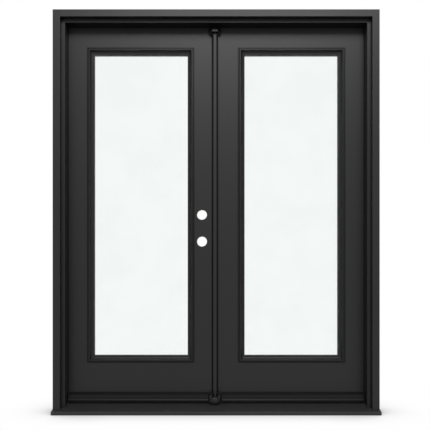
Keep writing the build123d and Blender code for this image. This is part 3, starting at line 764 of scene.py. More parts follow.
@dataclass
class Wardrobe:
    """Makes each finish's material once, and puts it on pieces."""

    made: dict[str, bpy.types.Material] = field(default_factory=dict)

    def put(self, finish: Finish, *pieces: Piece) -> None:
        """Dresses pieces in a finish.

        Args:
            finish: the finish.
            pieces: the pieces.
        """
        if finish.name not in self.made:
            self.made[finish.name] = finish.material()
        for piece in pieces:
            if not piece.material_slots:
                piece.data.materials.append(None)
            for place in piece.material_slots:
                place.material = self.made[finish.name]
            log.info("%s: %s", piece.name, finish.name)


def only(kind: type, geometry: Iterable[Any]) -> list[Any]:
    """The parts of some geometry that are of one kind."""
    return [part for part in geometry if isinstance(part, kind)]


def span(edge: BMEdge, axis: int) -> float:
    """How far an edge reaches along an axis."""
    return abs(edge.verts[0].co[axis] - edge.verts[1].co[axis])


def facing(way: Vector, where: Vector, turn: float = 0.0) -> Matrix:
    """A place whose +Z faces a given way, turned about that way by an angle in radians."""
    aim = way.to_track_quat("Z", "Y").to_matrix().to_4x4()
    return Matrix.Translation(where) @ aim @ Matrix.Rotation(turn, 4, "Z")


def grow(mesh: BMesh, edges: Sequence[BMEdge]) -> tuple[list[BMVert], list[BMEdge], list[BMFace]]:
    """Extrudes edges, and gives the new vertices, edges and faces."""
    made = bmesh.ops.extrude_edge_only(mesh, edges=edges)["geom"]
    return only(BMVert, made), only(BMEdge, made), only(BMFace, made)


def rounded(
    mesh: BMesh, edges: Sequence[BMEdge], offset: float, segments: int, clamped: bool = True
) -> None:
    """Rounds edges of a mesh.

    Args:
        mesh: the mesh.
        edges: the edges.
        offset: how far the rounding reaches on each side.
        segments: how many strips it has.
        clamped: whether it stops where it would overlap itself.
    """
    bmesh.ops.bevel(
        mesh,
        geom=list(edges),
        offset=offset,
        offset_type="OFFSET",
        segments=segments,
        profile=0.5,
        affect="EDGES",
        clamp_overlap=clamped,
        material=-1,
    )


def slab(mesh: BMesh, low: Vector, high: Vector) -> list[BMEdge]:
    """Adds a plain block between two corners.

    Args:
        mesh: the mesh that takes it.
        low: its lowest corner.
        high: its highest corner.

    Returns:
        Its edges.
    """
    place = Matrix.Translation((low + high) / 2) @ Matrix.Diagonal((*(high - low), 1.0))
    corners = bmesh.ops.create_cube(mesh, size=1.0, matrix=place)["verts"]
    return list(dict.fromkeys(edge for corner in corners for edge in corner.link_edges))


def add_at(mesh: BMesh, made: BMesh, where: Matrix) -> None:
    """Moves a small mesh to its place in a larger one.

    Args:
        mesh: the mesh that takes it.
        made: the small mesh, which is freed.
        where: its place and the way that it faces.
    """
    bmesh.ops.transform(made, matrix=where, verts=made.verts[:])
    data = bpy.data.meshes.new("part")
    made.to_mesh(data)
    made.free()
    mesh.from_mesh(data)
    bpy.data.meshes.remove(data)


def stand(mesh: BMesh, name: str, body: str) -> Piece:
    """Stands a mesh as a piece that rides on a body.

    Args:
        mesh: the mesh, which is freed.
        name: the piece's name.
        body: the body that it rides on.

    Returns:
        The piece.
    """
    data = bpy.data.meshes.new(name)
    mesh.to_mesh(data)
    mesh.free()
    piece = bpy.data.objects.new(name, data)
    bpy.context.scene.collection.objects.link(piece)
    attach(piece, body)
    log.info("%s: %d faces on %s", name, len(data.polygons), body)
    return piece


def settle(mesh: BMesh, name: str, body: str) -> Piece:
    """Welds a mesh, smooths it between its sharp edges, and stands it as a piece.

    Args:
        mesh: the mesh, which is freed.
        name: the piece's name.
        body: the body that it rides on.

    Returns:
        The piece.
    """
    bmesh.ops.remove_doubles(mesh, verts=mesh.verts[:], dist=WELD)
    bmesh.ops.recalc_face_normals(mesh, faces=mesh.faces[:])
    for face in mesh.faces:
        face.smooth = True
    for edge in mesh.edges:
        edge.smooth = edge.is_manifold and edge.calc_face_angle() < SHARP_ANGLE
    return stand(mesh, name, body)


@dataclass
class CrossHeadScrew:
    """A raised countersunk screw head with a cross recess, facing along +Z."""

    radius: float = 4.0 * MM
    rise: float = 0.7 * MM
    crown_share: float = 0.72
    cross_reach: float = 2.3 * MM
    cross_half: float = 0.5 * MM
    cross_depth: float = 0.55 * MM
    segments: int = 24
    weld: float = 0.001 * MM

    def add_to(self, mesh: BMesh, where: Matrix) -> None:
        """Models the head and moves it to its place.

        Args:
            mesh: the mesh that takes it.
            where: its place and the way that it faces.
        """
        made = bmesh.new()
        bmesh.ops.create_circle(
            made, cap_ends=False, radius=self.radius, segments=self.segments
        )
        lifted, crown, _ = grow(made, made.edges[:])
        bmesh.ops.scale(made, verts=lifted, vec=(self.crown_share, self.crown_share, 1))
        bmesh.ops.translate(made, verts=lifted, vec=(0, 0, self.rise))
        centre = bmesh.ops.create_grid(
            made, x_segments=1, y_segments=1, size=self.cross_half
        )["verts"]
        bmesh.ops.translate(made, verts=centre, vec=(0, 0, self.rise))
        arms = [next(f for f in made.faces if all(v in centre for v in f.verts))]
        for edge in list(arms[0].edges):
            way = sum((v.co for v in edge.verts), Vector()) / 2
            way.z = 0
            ends, _, arm = grow(made, [edge])
            reach = (self.cross_reach - self.cross_half) * way.normalized()
            bmesh.ops.translate(made, verts=ends, vec=reach)
            arms += arm
        around = dict.fromkeys(e for f in arms for e in f.edges)
        outline = [e for e in around if len(e.link_faces) == 1]
        bmesh.ops.bridge_loops(made, edges=crown + outline)
        sunk = bmesh.ops.extrude_face_region(made, geom=arms)["geom"]
        bmesh.ops.delete(made, geom=arms, context="FACES_ONLY")
        bmesh.ops.translate(made, verts=only(BMVert, sunk), vec=(0, 0, -self.cross_depth))
        bmesh.ops.remove_doubles(made, verts=made.verts[:], dist=self.weld)
        bmesh.ops.recalc_face_normals(made, faces=made.faces[:])
        if sum(f.normal.z * f.calc_area() for f in made.faces) < 0:
            bmesh.ops.reverse_faces(made, faces=made.faces[:])
        add_at(mesh, made, where)


@dataclass
class ScrewPlug:
    """A round plug that covers a screw, with a rounded rim, facing along +Z."""

    radius: float = 3.4 * MM
    rise: float = 0.8 * MM
    root: float = 1.3 * MM
    bevel: float = 0.45 * MM
    bevel_strips: int = 3
    dimple_radius: float = 1.3 * MM
    dimple_depth: float = 0.25 * MM
    segments: int = 28

    def add_to(self, mesh: BMesh, where: Matrix) -> None:
        """Models the plug and moves it to its place.

        Args:
            mesh: the mesh that takes it.
            where: its place and the way that it faces.
        """
        made = bmesh.new()
        bmesh.ops.create_cone(
            made,
            cap_ends=True,
            cap_tris=False,
            segments=self.segments,
            radius1=self.radius,
            radius2=self.radius,
            depth=self.rise + self.root,
            matrix=Matrix.Translation((0, 0, (self.rise - self.root) / 2)),
        )
        crown = max(made.faces, key=lambda face: face.calc_center_median().z)
        rounded(made, list(crown.edges), self.bevel, self.bevel_strips, clamped=False)
        crown = max(
            made.faces,
            key=lambda face: (round(face.calc_center_median().z, DECIMALS), face.calc_area()),
        )
        width = self.radius - self.bevel - self.dimple_radius
        bmesh.ops.inset_region(made, faces=[crown], thickness=width, use_even_offset=True)
        bmesh.ops.translate(made, verts=list(crown.verts), vec=(0, 0, -self.dimple_depth))
        add_at(mesh, made, where)


def fastenings(
    name: str, body: str, places: Iterable[Matrix], head: CrossHeadScrew | ScrewPlug
) -> Piece:
    """Stands rows of screws or plugs as one piece that rides on one body.

    Args:
        name: the piece's name.
        body: the body that it rides on.
        places: where the heads are.
        head: what each of them is like.

    Returns:
        The piece.
    """
    mesh = bmesh.new()
    for where in places:
        head.add_to(mesh, where)
    return stand(mesh, name, body)


@dataclass
class LiteMoulding:
    """A lite frame's moulded section, carried round the glass with mitred corners."""

    member: float = 37.0 * MM
    proud: float = 11.0 * MM
    lap: float = 15.5 * MM
    leg: float = 6.0 * MM
    bedding: float = 0.4 * MM
    edge: Pair = (3.0 * MM, 3.5 * MM)
    quirk_start: float = 4.0 * MM
    quirk_end: float = 6.5 * MM
    quirk_floor: float = 1.0 * MM
    ridge_foot: Pair = (7.5 * MM, 5.5 * MM)
    ridge_shoulders: Pair = (8.8 * MM, 17.7 * MM)
    ridge_end: float = 19.0 * MM
    ridge_round: float = 4.0 * MM
    ridge_strips: int = 6
    cove_bend: Pair = (23.6 * MM, -3.95 * MM)
    cove_end: Pair = (34.6 * MM, -6.0 * MM)
    cove_round: float = 8.5 * MM
    cove_strips: int = 7
    lip_sink: float = 7.2 * MM
    arris: float = 0.5 * MM
    arris_strips: int = 2

    def section(self, glass: float, meeting: float) -> list[Pair]:
        """The section's corners, before they are rounded.

        Args:
            glass: how deep the glass lies below the leaf's face.
            meeting: how deep the frame's leg reaches.

        Returns:
            Each corner's distance from the outer edge and its height above the face.
        """
        leg_inner = self.lap + self.leg
        return [
            (0.0, 0.0),
            (0.0, self.edge[1]),
            self.edge,
            (self.quirk_start, self.quirk_floor),
            (self.quirk_end, self.quirk_floor),
            self.ridge_foot,
            (self.ridge_shoulders[0], self.proud),
            (self.ridge_shoulders[1], self.proud),
            (self.ridge_end, self.ridge_foot[1]),
            self.cove_bend,
            self.cove_end,
            (self.member, -self.lip_sink),
            (self.member, -glass),
            (leg_inner, -glass),
            (leg_inner, -meeting),
            (self.lap, -meeting),
            (self.lap, 0.0),
        ]

    def build(self, leaf: str, side: str) -> Piece:
        """Models one frame in its CAD node's place.

        Args:
            leaf: the leaf's name.
            side: "outer" or "inner".

        Returns:
            The piece.
        """
        node = f"{leaf}_lite_frame_{side}"
        low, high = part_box(node)
        pane_low, pane_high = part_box(f"{leaf}_pane_{side}")
        if side == "outer":
            way, face, meeting_face = -1.0, low.y + self.proud, high.y
            glass_face = pane_low.y - self.bedding
        else:
            way, face, meeting_face = 1.0, high.y - self.proud, low.y
            glass_face = pane_high.y + self.bedding
        corners = self.section(abs(glass_face - face), abs(meeting_face - face))
        mesh = bmesh.new()
        ring = [mesh.verts.new((low.x + a, face + way * b, low.z + a)) for a, b in corners]
        loop = [mesh.edges.new(pair) for pair in zip(ring, ring[1:] + ring[:1])]
        centre = Matrix.Translation(-(low + high) / 2)
        for flip in ((-1, 1, 1), (1, 1, -1)) * 2:
            ends, loop, _ = grow(mesh, loop)
            bmesh.ops.scale(mesh, vec=flip, space=centre, verts=ends)
        bmesh.ops.remove_doubles(mesh, verts=mesh.verts[:], dist=WELD)
        bmesh.ops.recalc_face_normals(mesh, faces=mesh.faces[:])

        def along(*places: Pair) -> list[BMEdge]:
            """Finds the edges that run round the frame.

            Args:
                places: the corners of the section that they start from.

            Returns:
                The edges.
            """
            return [
                edge
                for edge in mesh.edges
                for across, rise in places
                if all(
                    abs(v.co.x - low.x - across) < WELD or abs(high.x - across - v.co.x) < WELD
                    for v in edge.verts
                )
                and all(abs(way * (v.co.y - face) - rise) < WELD for v in edge.verts)
            ]

        shoulders = [(across, self.proud) for across in self.ridge_shoulders]
        rounded(mesh, along(self.cove_bend), self.cove_round, self.cove_strips)
        rounded(mesh, along(*shoulders), self.ridge_round, self.ridge_strips)
        rounded(mesh, along((0.0, self.edge[1]), self.edge), self.arris, self.arris_strips)
        piece = settle(mesh, f"{leaf}_lite_moulding_{side}", f"{leaf}_leaf")
        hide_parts(node)
        return piece


@dataclass
class EndPlate:
    """An upright plate with rounded lower corners and a notch for the astragal's bar."""

    low: Vector
    high: Vector
    corner: float
    notch: Pair
    notch_depth: float
    notch_on_top: bool
    corner_strips: int = 10

    def in_notch(self, place: Vector, floor: float) -> bool:
        """Whether a place is inside the notch, given the height of its floor."""
        beyond = place.z > floor if self.notch_on_top else place.z < floor
        return beyond and self.notch[0] < place.x < self.notch[1]

    def model(self) -> BMesh:
        """Models the plate.

        Returns:
            The mesh.
        """
        mesh = bmesh.new()
        size = self.high - self.low
        flat = Matrix.Translation((self.low + self.high) / 2) @ Matrix.Rotation(math.pi / 2, 4, "X")
        flat.translation.y = self.high.y
        stretch = Matrix.Diagonal((size.x, size.z, 1, 1))
        bmesh.ops.create_grid(mesh, x_segments=1, y_segments=1, size=0.5, matrix=flat @ stretch)
        if self.notch_on_top:
            floor = self.high.z - self.notch_depth
        else:
            floor = self.low.z + self.notch_depth
        cuts = [((x, 0, 0), (1, 0, 0)) for x in self.notch] + [((0, 0, floor), (0, 0, 1))]
        for point, normal in cuts:
            parts = mesh.verts[:] + mesh.edges[:] + mesh.faces[:]
            bmesh.ops.bisect_plane(mesh, geom=parts, plane_co=point, plane_no=normal)
        gap = [face for face in mesh.faces if self.in_notch(face.calc_center_median(), floor)]
        bmesh.ops.delete(mesh, geom=gap, context="FACES")
        sheet = bmesh.ops.dissolve_faces(mesh, faces=mesh.faces[:])["region"]
        straight = [vert for vert in mesh.verts if vert.calc_edge_angle(math.pi) < SHARP_ANGLE]
        bmesh.ops.dissolve_verts(mesh, verts=straight)
        grown = bmesh.ops.extrude_face_region(mesh, geom=sheet, use_keep_orig=True)["geom"]
        bmesh.ops.translate(mesh, verts=only(BMVert, grown), vec=(0, -size.y, 0))
        feet = [
            edge
            for edge in mesh.edges
            if all(v.co.z < self.low.z + WELD for v in edge.verts)
            and span(edge, 1) > size.y / 2
            and not self.notch[0] - WELD < edge.verts[0].co.x < self.notch[1] + WELD
        ]
        rounded(mesh, feet, self.corner, self.corner_strips)
        return mesh


@dataclass
class Boss:
    """A block with rounded corners and a soft front edge, on the front of an end plate."""

    low: Vector
    high: Vector
    corner: float
    front_round: float
    all_corners: bool
    corner_strips: int = 8
    front_strips: int = 4

    def add_to(self, mesh: BMesh) -> None:
        """Models the boss.

        Args:
            mesh: the mesh that takes it.
        """
        depth = self.high.y - self.low.y
        middle = (self.low.z + self.high.z) / 2
        corners = [
            edge
            for edge in slab(mesh, self.low, self.high)
            if span(edge, 1) > depth / 2
            and (self.all_corners or edge.verts[0].co.z > middle)
        ]
        rounded(mesh, corners, self.corner, self.corner_strips)
        rim = [
            edge
            for edge in mesh.edges
            if all(
                abs(v.co.y - self.low.y) < WELD and self.low.z - WELD < v.co.z < self.high.z + WELD
                for v in edge.verts
            )
        ]
        rounded(mesh, rim, self.front_round, self.front_strips)


@dataclass
class SubAssembly:
    """A part of the door, with the finishes and the wardrobe that it is dressed from."""

    palette: Palette
    wardrobe: Wardrobe

    def nodes(self) -> dict[Finish, Sequence[str]]:
        """The CAD nodes that each finish goes on."""
        raise NotImplementedError

    def model(self) -> None:
        """Models the new pieces and dresses them."""
        raise NotImplementedError

    def build(self) -> None:
        """Dresses the CAD nodes, then models the new pieces."""
        for finish, names in self.nodes().items():
            self.wardrobe.put(finish, *(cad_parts[name] for name in names))
        self.model()


@dataclass
class FrameAndSill(SubAssembly):
    """The fixed frame: jambs, brick mould, sill, threshold and weatherstrips."""

    bulb_depth: float = 4.4 * MM
    bulb_round: float = 1.8 * MM
    lip: float = 4.5 * MM
    lip_round: float = 1.2 * MM
    round_strips: int = 4
    skin: float = 0.5 * MM
    drip_top: float = 95.0 * MM

    def nodes(self) -> dict[Finish, Sequence[str]]:
        """Says what each finish goes on.

        Returns:
            The names of the CAD nodes, by finish.
        """
        upright = [f"{part}_{side}" for part in ("jamb", "brickmould") for side in SIDES]
        return {
            self.palette.board_upright: upright,
            self.palette.board_across: ("jamb_head", "jamb_head_stop", "brickmould_head"),
            self.palette.tread: ("sill_tread",),
            self.palette.sill_core: ("sill_core",),
            self.palette.threshold: ("threshold_cap",),
            self.palette.plate: ("threshold_adjusters", "bolt_strike_plate"),
        }

    def model(self) -> None:
        """Models the weatherstrips: a soft bulb, a lip beyond the stop and a barb in the kerf."""
        for place in (*SIDES, "head"):
            node = f"weatherstrip_{place}"
            low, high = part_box(node)
            points = [v.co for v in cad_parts[node].data.vertices]
            deep = [p for p in points if p.y < high.y - self.bulb_depth - self.skin]
            barb_low = Vector([min(p[i] for p in deep) for i in range(3)])
            barb_high = Vector([max(p[i] for p in deep) for i in range(3)])
            barb_high.y = high.y - self.bulb_round
            front = Vector((low.x, high.y - self.bulb_depth, low.z))
            inset = Vector((0, self.skin, 0))
            lip_low, lip_high = front + inset, high - inset
            if place == "head":
                run, ends = 0, self.lip + self.skin
                lip_low.z, lip_high.z = low.z - self.lip, low.z + self.lip
                lip_low.x, lip_high.x = low.x + ends, high.x - ends
            else:
                run, inner = 2, high.x if place == "left" else low.x
                lip_low.z, lip_high.z = self.drip_top, high.z - self.lip
                lip_low.x, lip_high.x = inner - self.lip, inner + self.lip
            mesh = bmesh.new()
            bulb = (front, high, self.bulb_round)
            for corner, other, turn in (bulb, (lip_low, lip_high, self.lip_round)):
                long = [e for e in slab(mesh, corner, other) if span(e, run) > self.lip * 3]
                rounded(mesh, long, turn, self.round_strips)
            slab(mesh, barb_low, barb_high)
            piece = settle(mesh, f"weather_bulb_{place}", "frame")
            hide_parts(node)
            self.wardrobe.put(self.palette.seal, piece)


@dataclass
class Hinges(SubAssembly):
    """The hinges: plates, pins and the screws that hold the plates."""

    column_from_edge: float = 9.0 * MM
    stagger: float = 8.0 * MM
    outer_row: float = 15.0 * MM
    inner_row: float = 34.0 * MM
    plate_width: float = 32.0 * MM
    plate_height: float = 101.6 * MM
    turn_step: float = 0.4
    screw: CrossHeadScrew = field(default_factory=CrossHeadScrew)

    def nodes(self) -> dict[Finish, Sequence[str]]:
        """Says what each finish goes on.

        Returns:
            The names of the CAD nodes, by finish.
        """
        plates = [f"hinge_plates_jamb_{side}" for side in SIDES]
        plates += [f"hinge_plates_{leaf}_leaf" for leaf in LEAVES]
        return {self.palette.hinge: plates, self.palette.pin: [f"hinge_pins_{s}" for s in SIDES]}

    def screws(self, node: str, side: int, on_jamb: bool) -> list[Matrix]:
        """The places of one side's screws.

        Args:
            node: the plates' node.
            side: -1 for the left of the door and 1 for its right.
            on_jamb: whether the plates are the jamb's.

        Returns:
            One place for each screw.
        """
        low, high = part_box(node)
        points = [v.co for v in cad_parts[node].data.vertices]
        flat = [abs(p.x) for p in points if p.y < low.y + self.plate_width / 2]
        face = min(flat) if on_jamb else max(flat)
        way = Vector((-side if on_jamb else side, 0, 0))
        half = self.plate_height / 2
        rows = (-self.inner_row, -self.outer_row, self.outer_row, self.inner_row)
        places = []
        for number, middle in enumerate((low.z + half, (low.z + high.z) / 2, high.z - half)):
            for row, offset in enumerate(rows):
                depth = low.y + self.column_from_edge
                if abs(offset) == self.outer_row:
                    depth += self.stagger
                where = Vector((side * face, depth, middle + offset))
                places.append(facing(way, where, self.turn_step * (number + 3 * row)))
        return places

    def model(self) -> None:
        """Models the screws of every plate."""
        groups = (
            ("hinge_plates_jamb_left", -1, True, "frame"),
            ("hinge_plates_jamb_right", 1, True, "frame"),
            ("hinge_plates_active_leaf", -1, False, "active_leaf"),
            ("hinge_plates_inactive_leaf", 1, False, "inactive_leaf"),
        )
        for node, side, on_jamb, body in groups:
            name = node.replace("plates", "screws")
            places = self.screws(node, side, on_jamb)
            screws = fastenings(name, body, places, self.screw)
            self.wardrobe.put(self.palette.hinge, screws)


@dataclass
class Leaf(SubAssembly):
    """One leaf: its skins, frame, glazing and foot, with the plugs of its inner lite frame."""

    leaf: str
    has_lock: bool
    plug_from_edge: float = 13.25 * MM
    plugs_up: int = 6
    plugs_across: int = 3
    plug_corner: float = 60.0 * MM
    lite_proud: float = 11.0 * MM
    skin_face: float = 115.9 * MM
    sweep_base: float = 2.5 * MM
    sweep_fins: int = 4
    fin_root: float = 1.4 * MM
    fin_tip: float = 0.5 * MM
    plug: ScrewPlug = field(default_factory=ScrewPlug)
    moulding: LiteMoulding = field(default_factory=LiteMoulding)

    def nodes(self) -> dict[Finish, Sequence[str]]:
        """Says what each finish goes on.

        Returns:
            The names of the CAD nodes, by finish.
        """
        rows = {
            self.palette.skin: ("skin_outer", "skin_inner"),
            self.palette.leaf_edge: ("hinge_stile", "lock_stile"),
            self.palette.timber: ("top_rail", "bottom_rail"),
            self.palette.foam: ("core",),
            self.palette.glass: ("pane_outer", "pane_inner"),
            self.palette.spacer: ("glass_spacer",),
            self.palette.drip: ("drip_cap",),
        }
        if self.has_lock:
            rows[self.palette.lock_block] = ("lock_block",)
        return {key: [f"{self.leaf}_{part}" for part in parts] for key, parts in rows.items()}

    def model(self) -> None:
        """Models the lite frames, the plugs that cover the inner one's screws, and the sweep."""
        for side in ("outer", "inner"):
            self.wardrobe.put(self.palette.moulding, self.moulding.build(self.leaf, side))
        name, body = f"{self.leaf}_lite_plugs", f"{self.leaf}_leaf"
        plugs = fastenings(name, body, self.plug_places(), self.plug)
        self.wardrobe.put(self.palette.moulding, plugs)
        self.model_sweep()

    def plug_places(self) -> list[Matrix]:
        """Places the plugs up the sides of the inner lite frame, then across its foot and top.

        Returns:
            One place for each plug.
        """
        low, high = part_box(f"{self.leaf}_lite_frame_inner")
        face = self.skin_face + self.lite_proud
        left, right = low.x + self.plug_from_edge, high.x - self.plug_from_edge
        foot, top = low.z + self.plug_from_edge, high.z - self.plug_from_edge
        up = (top - foot - 2 * self.plug_corner) / (self.plugs_up - 1)
        across = (right - left - 2 * self.plug_corner) / (self.plugs_across - 1)
        heights = [foot + self.plug_corner + n * up for n in range(self.plugs_up)]
        columns = [left + self.plug_corner + n * across for n in range(self.plugs_across)]
        points = [(x, z) for z in heights for x in (left, right)]
        points += [(x, z) for x in columns for z in (foot, top)]
        return [facing(Vector((0, 1, 0)), Vector((x, face, z))) for x, z in points]

    def model_sweep(self) -> None:
        """Models the strip of tapered fins under the leaf."""
        low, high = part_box(f"{self.leaf}_sweep")
        root = high.z - self.sweep_base
        mesh = bmesh.new()
        slab(mesh, Vector((low.x, low.y, root)), high)
        spacing = (high.y - low.y - self.fin_root) / (self.sweep_fins - 1)
        for n in range(self.sweep_fins):
            front = low.y + n * spacing
            back_top = Vector((high.x, front + self.fin_root, root + self.fin_tip))
            edges = slab(mesh, Vector((low.x, front, low.z)), back_top)
            tips = {v for edge in edges for v in edge.verts if v.co.z < low.z + WELD}
            middle = Matrix.Translation((0, -front - self.fin_root / 2, 0))
            thinned = (1, self.fin_tip / self.fin_root, 1)
            bmesh.ops.scale(mesh, vec=thinned, space=middle, verts=list(tips))
        piece = settle(mesh, f"{self.leaf}_sweep_fins", f"{self.leaf}_leaf")
        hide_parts(f"{self.leaf}_sweep")
        self.wardrobe.put(self.palette.sweep, piece)


@dataclass
class Astragal(SubAssembly):
    """The astragal on the second leaf, with its seals, flush bolts and end blocks."""

    bar: Pair = (-17.0 * MM, 4.0 * MM)
    bar_crown: float = 9.5 * MM
    bar_round: float = 5.4 * MM
    bar_strips: int = 6
    bar_ends: float = 1.5 * MM
    notch_play: float = 1.5 * MM
    seal_gap: float = 0.3 * MM
    bulb_width: float = 6.0 * MM
    bulb_rise: float = 2.5 * MM
    bead_width: float = 6.2 * MM
    bead_rise: float = 3.0 * MM
    seal_root: float = 9.0 * MM
    seal_round: float = 1.2 * MM
    seal_strips: int = 3
    seal_overlap: float = 1.8 * MM
    seal_ends: float = 2.0 * MM
    centre: float = -7.0 * MM
    head_size: Pair = (67.0 * MM, 46.0 * MM)
    head_corner: float = 18.0 * MM
    head_notch: float = 13.6 * MM
    head_front: float = 56.0 * MM
    cap_size: Pair = (37.0 * MM, 17.0 * MM)
    cap_depth: float = 15.0 * MM
    cap_rise: float = 13.6 * MM
    cap_corner: float = 12.0 * MM
    cap_round: float = 4.0 * MM
    sill_size: Pair = (64.0 * MM, 58.0 * MM)
    sill_corner: float = 28.0 * MM
    sill_notch: float = 15.0 * MM
    sill_rim: float = 5.0 * MM
    sill_sunk: float = 6.0 * MM
    sill_front: float = 30.0 * MM
    sill_back: float = 63.4 * MM
    boss_size: Pair = (36.0 * MM, 32.0 * MM)
    boss_depth: float = 9.0 * MM
    boss_rise: float = 10.0 * MM
    boss_corner: float = 12.0 * MM
    boss_round: float = 6.0 * MM

    def nodes(self) -> dict[Finish, Sequence[str]]:
        """Says what each finish goes on.

        Returns:
            The names of the CAD nodes, by finish.
        """
        return {
            self.palette.cover: ("astragal_body",),
            self.palette.bolt: ("flush_bolt_top", "flush_bolt_bottom"),
        }

    def model(self) -> None:
        """Models the bar, its seals and the blocks at its ends."""
        pad_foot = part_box("astragal_head_block")[1].z - self.head_size[1]
        shield_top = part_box("astragal_sill_block")[0].z + self.sill_size[1]
        self.model_bar(shield_top, pad_foot)
        self.model_seals(shield_top + self.seal_ends, pad_foot - self.seal_ends)
        self.model_head(pad_foot)
        self.model_shield(shield_top)

    def notch(self) -> Pair:
        """The left and the right of the notches in the end blocks."""
        return (self.bar[0] - self.notch_play, self.bar[1] + self.notch_play)

    def model_bar(self, shield_top: float, pad_foot: float) -> None:
        """Models the rounded bar, which ends inside the notches.

        Args:
            shield_top: how high the sill shield reaches.
            pad_foot: how low the head pad reaches.
        """
        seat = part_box("astragal_cover")[1].y
        foot = shield_top - self.sill_notch + self.bar_ends
        top = pad_foot + self.head_notch - self.bar_ends
        front = seat - self.bar_crown
        mesh = bmesh.new()
        edges = slab(mesh, Vector((self.bar[0], front, foot)), Vector((self.bar[1], seat, top)))
        crown = [edge for edge in self.upright(edges) if abs(edge.verts[0].co.y - front) < WELD]
        rounded(mesh, crown, self.bar_round, self.bar_strips)
        bar = settle(mesh, "astragal_bar", "inactive_leaf")
        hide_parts("astragal_cover")
        self.wardrobe.put(self.palette.cover, bar)

    def model_seals(self, foot: float, top: float) -> None:
        """Models the lap seal on the bar's left and the bead on its right.

        Args:
            foot: how low they reach.
            top: how high they reach.
        """
        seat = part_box("astragal_cover")[1].y
        leaf_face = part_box("astragal_seal")[1].y
        lap, bead = bmesh.new(), bmesh.new()
        right = self.bar[0] - self.seal_gap
        left = right - self.bulb_width
        edges = slab(
            lap,
            Vector((left, seat - self.bulb_rise, foot)),
            Vector((right, leaf_face, top)),
        )
        rounded(lap, self.upright(edges), self.seal_round, self.seal_strips)
        slab(
            lap,
            Vector((right - self.seal_overlap, seat + self.seal_gap, foot)),
            Vector((self.bar[0] + self.seal_root, leaf_face, top)),
        )
        seal = settle(lap, "astragal_lap_seal", "inactive_leaf")
        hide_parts("astragal_seal")
        left = self.bar[1] + self.seal_gap
        edges = slab(
            bead,
            Vector((left, seat - self.bead_rise, foot)),
            Vector((left + self.bead_width, seat, top)),
        )
        rounded(bead, self.upright(edges), self.seal_round, self.seal_strips)
        strip = settle(bead, "astragal_bead", "inactive_leaf")
        self.wardrobe.put(self.palette.seal, seal, strip)

    def model_head(self, foot: float) -> None:
        """Models the pad at the head and the cap on its front.

        Args:
            foot: how low the pad reaches.
        """
        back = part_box("astragal_head_block")[1]
        half = self.head_size[0] / 2
        plate = EndPlate(
            Vector((self.centre - half, self.head_front, foot)),
            Vector((self.centre + half, back.y, back.z)),
            self.head_corner,
            self.notch(),
            self.head_notch,
            notch_on_top=False,
        )
        pad = settle(plate.model(), "astragal_head_pad", "frame")
        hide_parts("astragal_head_block")
        # The pad's dark seal finish is partly painted shade: it darkens the wings beside the bar,
        # which sit in the head's shade.
        self.wardrobe.put(self.palette.seal, pad)
        mesh = bmesh.new()
        half = self.cap_size[0] / 2
        low = foot + self.cap_rise
        Boss(
            Vector((self.centre - half, self.head_front - self.cap_depth, low)),
            Vector((self.centre + half, self.head_front, low + self.cap_size[1])),
            self.cap_corner,
            self.cap_round,
            all_corners=False,
        ).add_to(mesh)
        cap = settle(mesh, "astragal_head_cap", "frame")
        self.wardrobe.put(self.palette.block, cap)

    def model_shield(self, top: float) -> None:
        """Models the shield on the sill, with its rim and its boss.

        Args:
            top: how high the shield reaches.
        """
        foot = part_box("astragal_sill_block")[0].z
        half = self.sill_size[0] / 2
        mesh = EndPlate(
            Vector((self.centre - half, self.sill_front, foot)),
            Vector((self.centre + half, self.sill_back, top)),
            self.sill_corner,
            self.notch(),
            self.sill_notch,
            notch_on_top=True,
        ).model()
        self.sink_front(mesh)
        self.stand_on_tread(mesh, foot)
        half = self.boss_size[0] / 2
        middle = sum(self.bar) / 2
        low = foot + self.boss_rise
        Boss(
            Vector((middle - half, self.sill_front - self.boss_depth, low)),
            Vector((middle + half, self.sill_front + self.sill_sunk, low + self.boss_size[1])),
            self.boss_corner,
            self.boss_round,
            all_corners=True,
        ).add_to(mesh)
        shield = settle(mesh, "astragal_sill_shield", "frame")
        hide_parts("astragal_sill_block")
        self.wardrobe.put(self.palette.block, shield)

    def upright(self, edges: Iterable[BMEdge]) -> list[BMEdge]:
        """The upright ones of a long block's edges."""
        return [edge for edge in edges if span(edge, 2) > self.bar_crown]

    def sink_front(self, mesh: BMesh) -> None:
        """Sinks the front of the sill shield inside a rim.

        Args:
            mesh: the shield's mesh.
        """
        front = min(mesh.faces, key=lambda face: face.calc_center_median().y)
        bmesh.ops.inset_region(mesh, faces=[front], thickness=self.sill_rim, use_even_offset=True)
        bmesh.ops.translate(mesh, verts=list(front.verts), vec=(0, self.sill_sunk, 0))

    def stand_on_tread(self, mesh: BMesh, foot: float) -> None:
        """Cuts the sill shield along the slope of the tread, and closes the cut.

        Args:
            mesh: the shield's mesh.
            foot: how low its front reaches.
        """
        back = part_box("sill_tread")[1]
        slope = (back.z - foot) / (back.y - self.sill_front)
        cut = bmesh.ops.bisect_plane(
            mesh,
            geom=mesh.verts[:] + mesh.edges[:] + mesh.faces[:],
            plane_co=(0, self.sill_front, foot),
            plane_no=(0, slope, -1),
            clear_outer=True,
        )["geom_cut"]
        bmesh.ops.contextual_create(mesh, geom=only(BMEdge, cut))


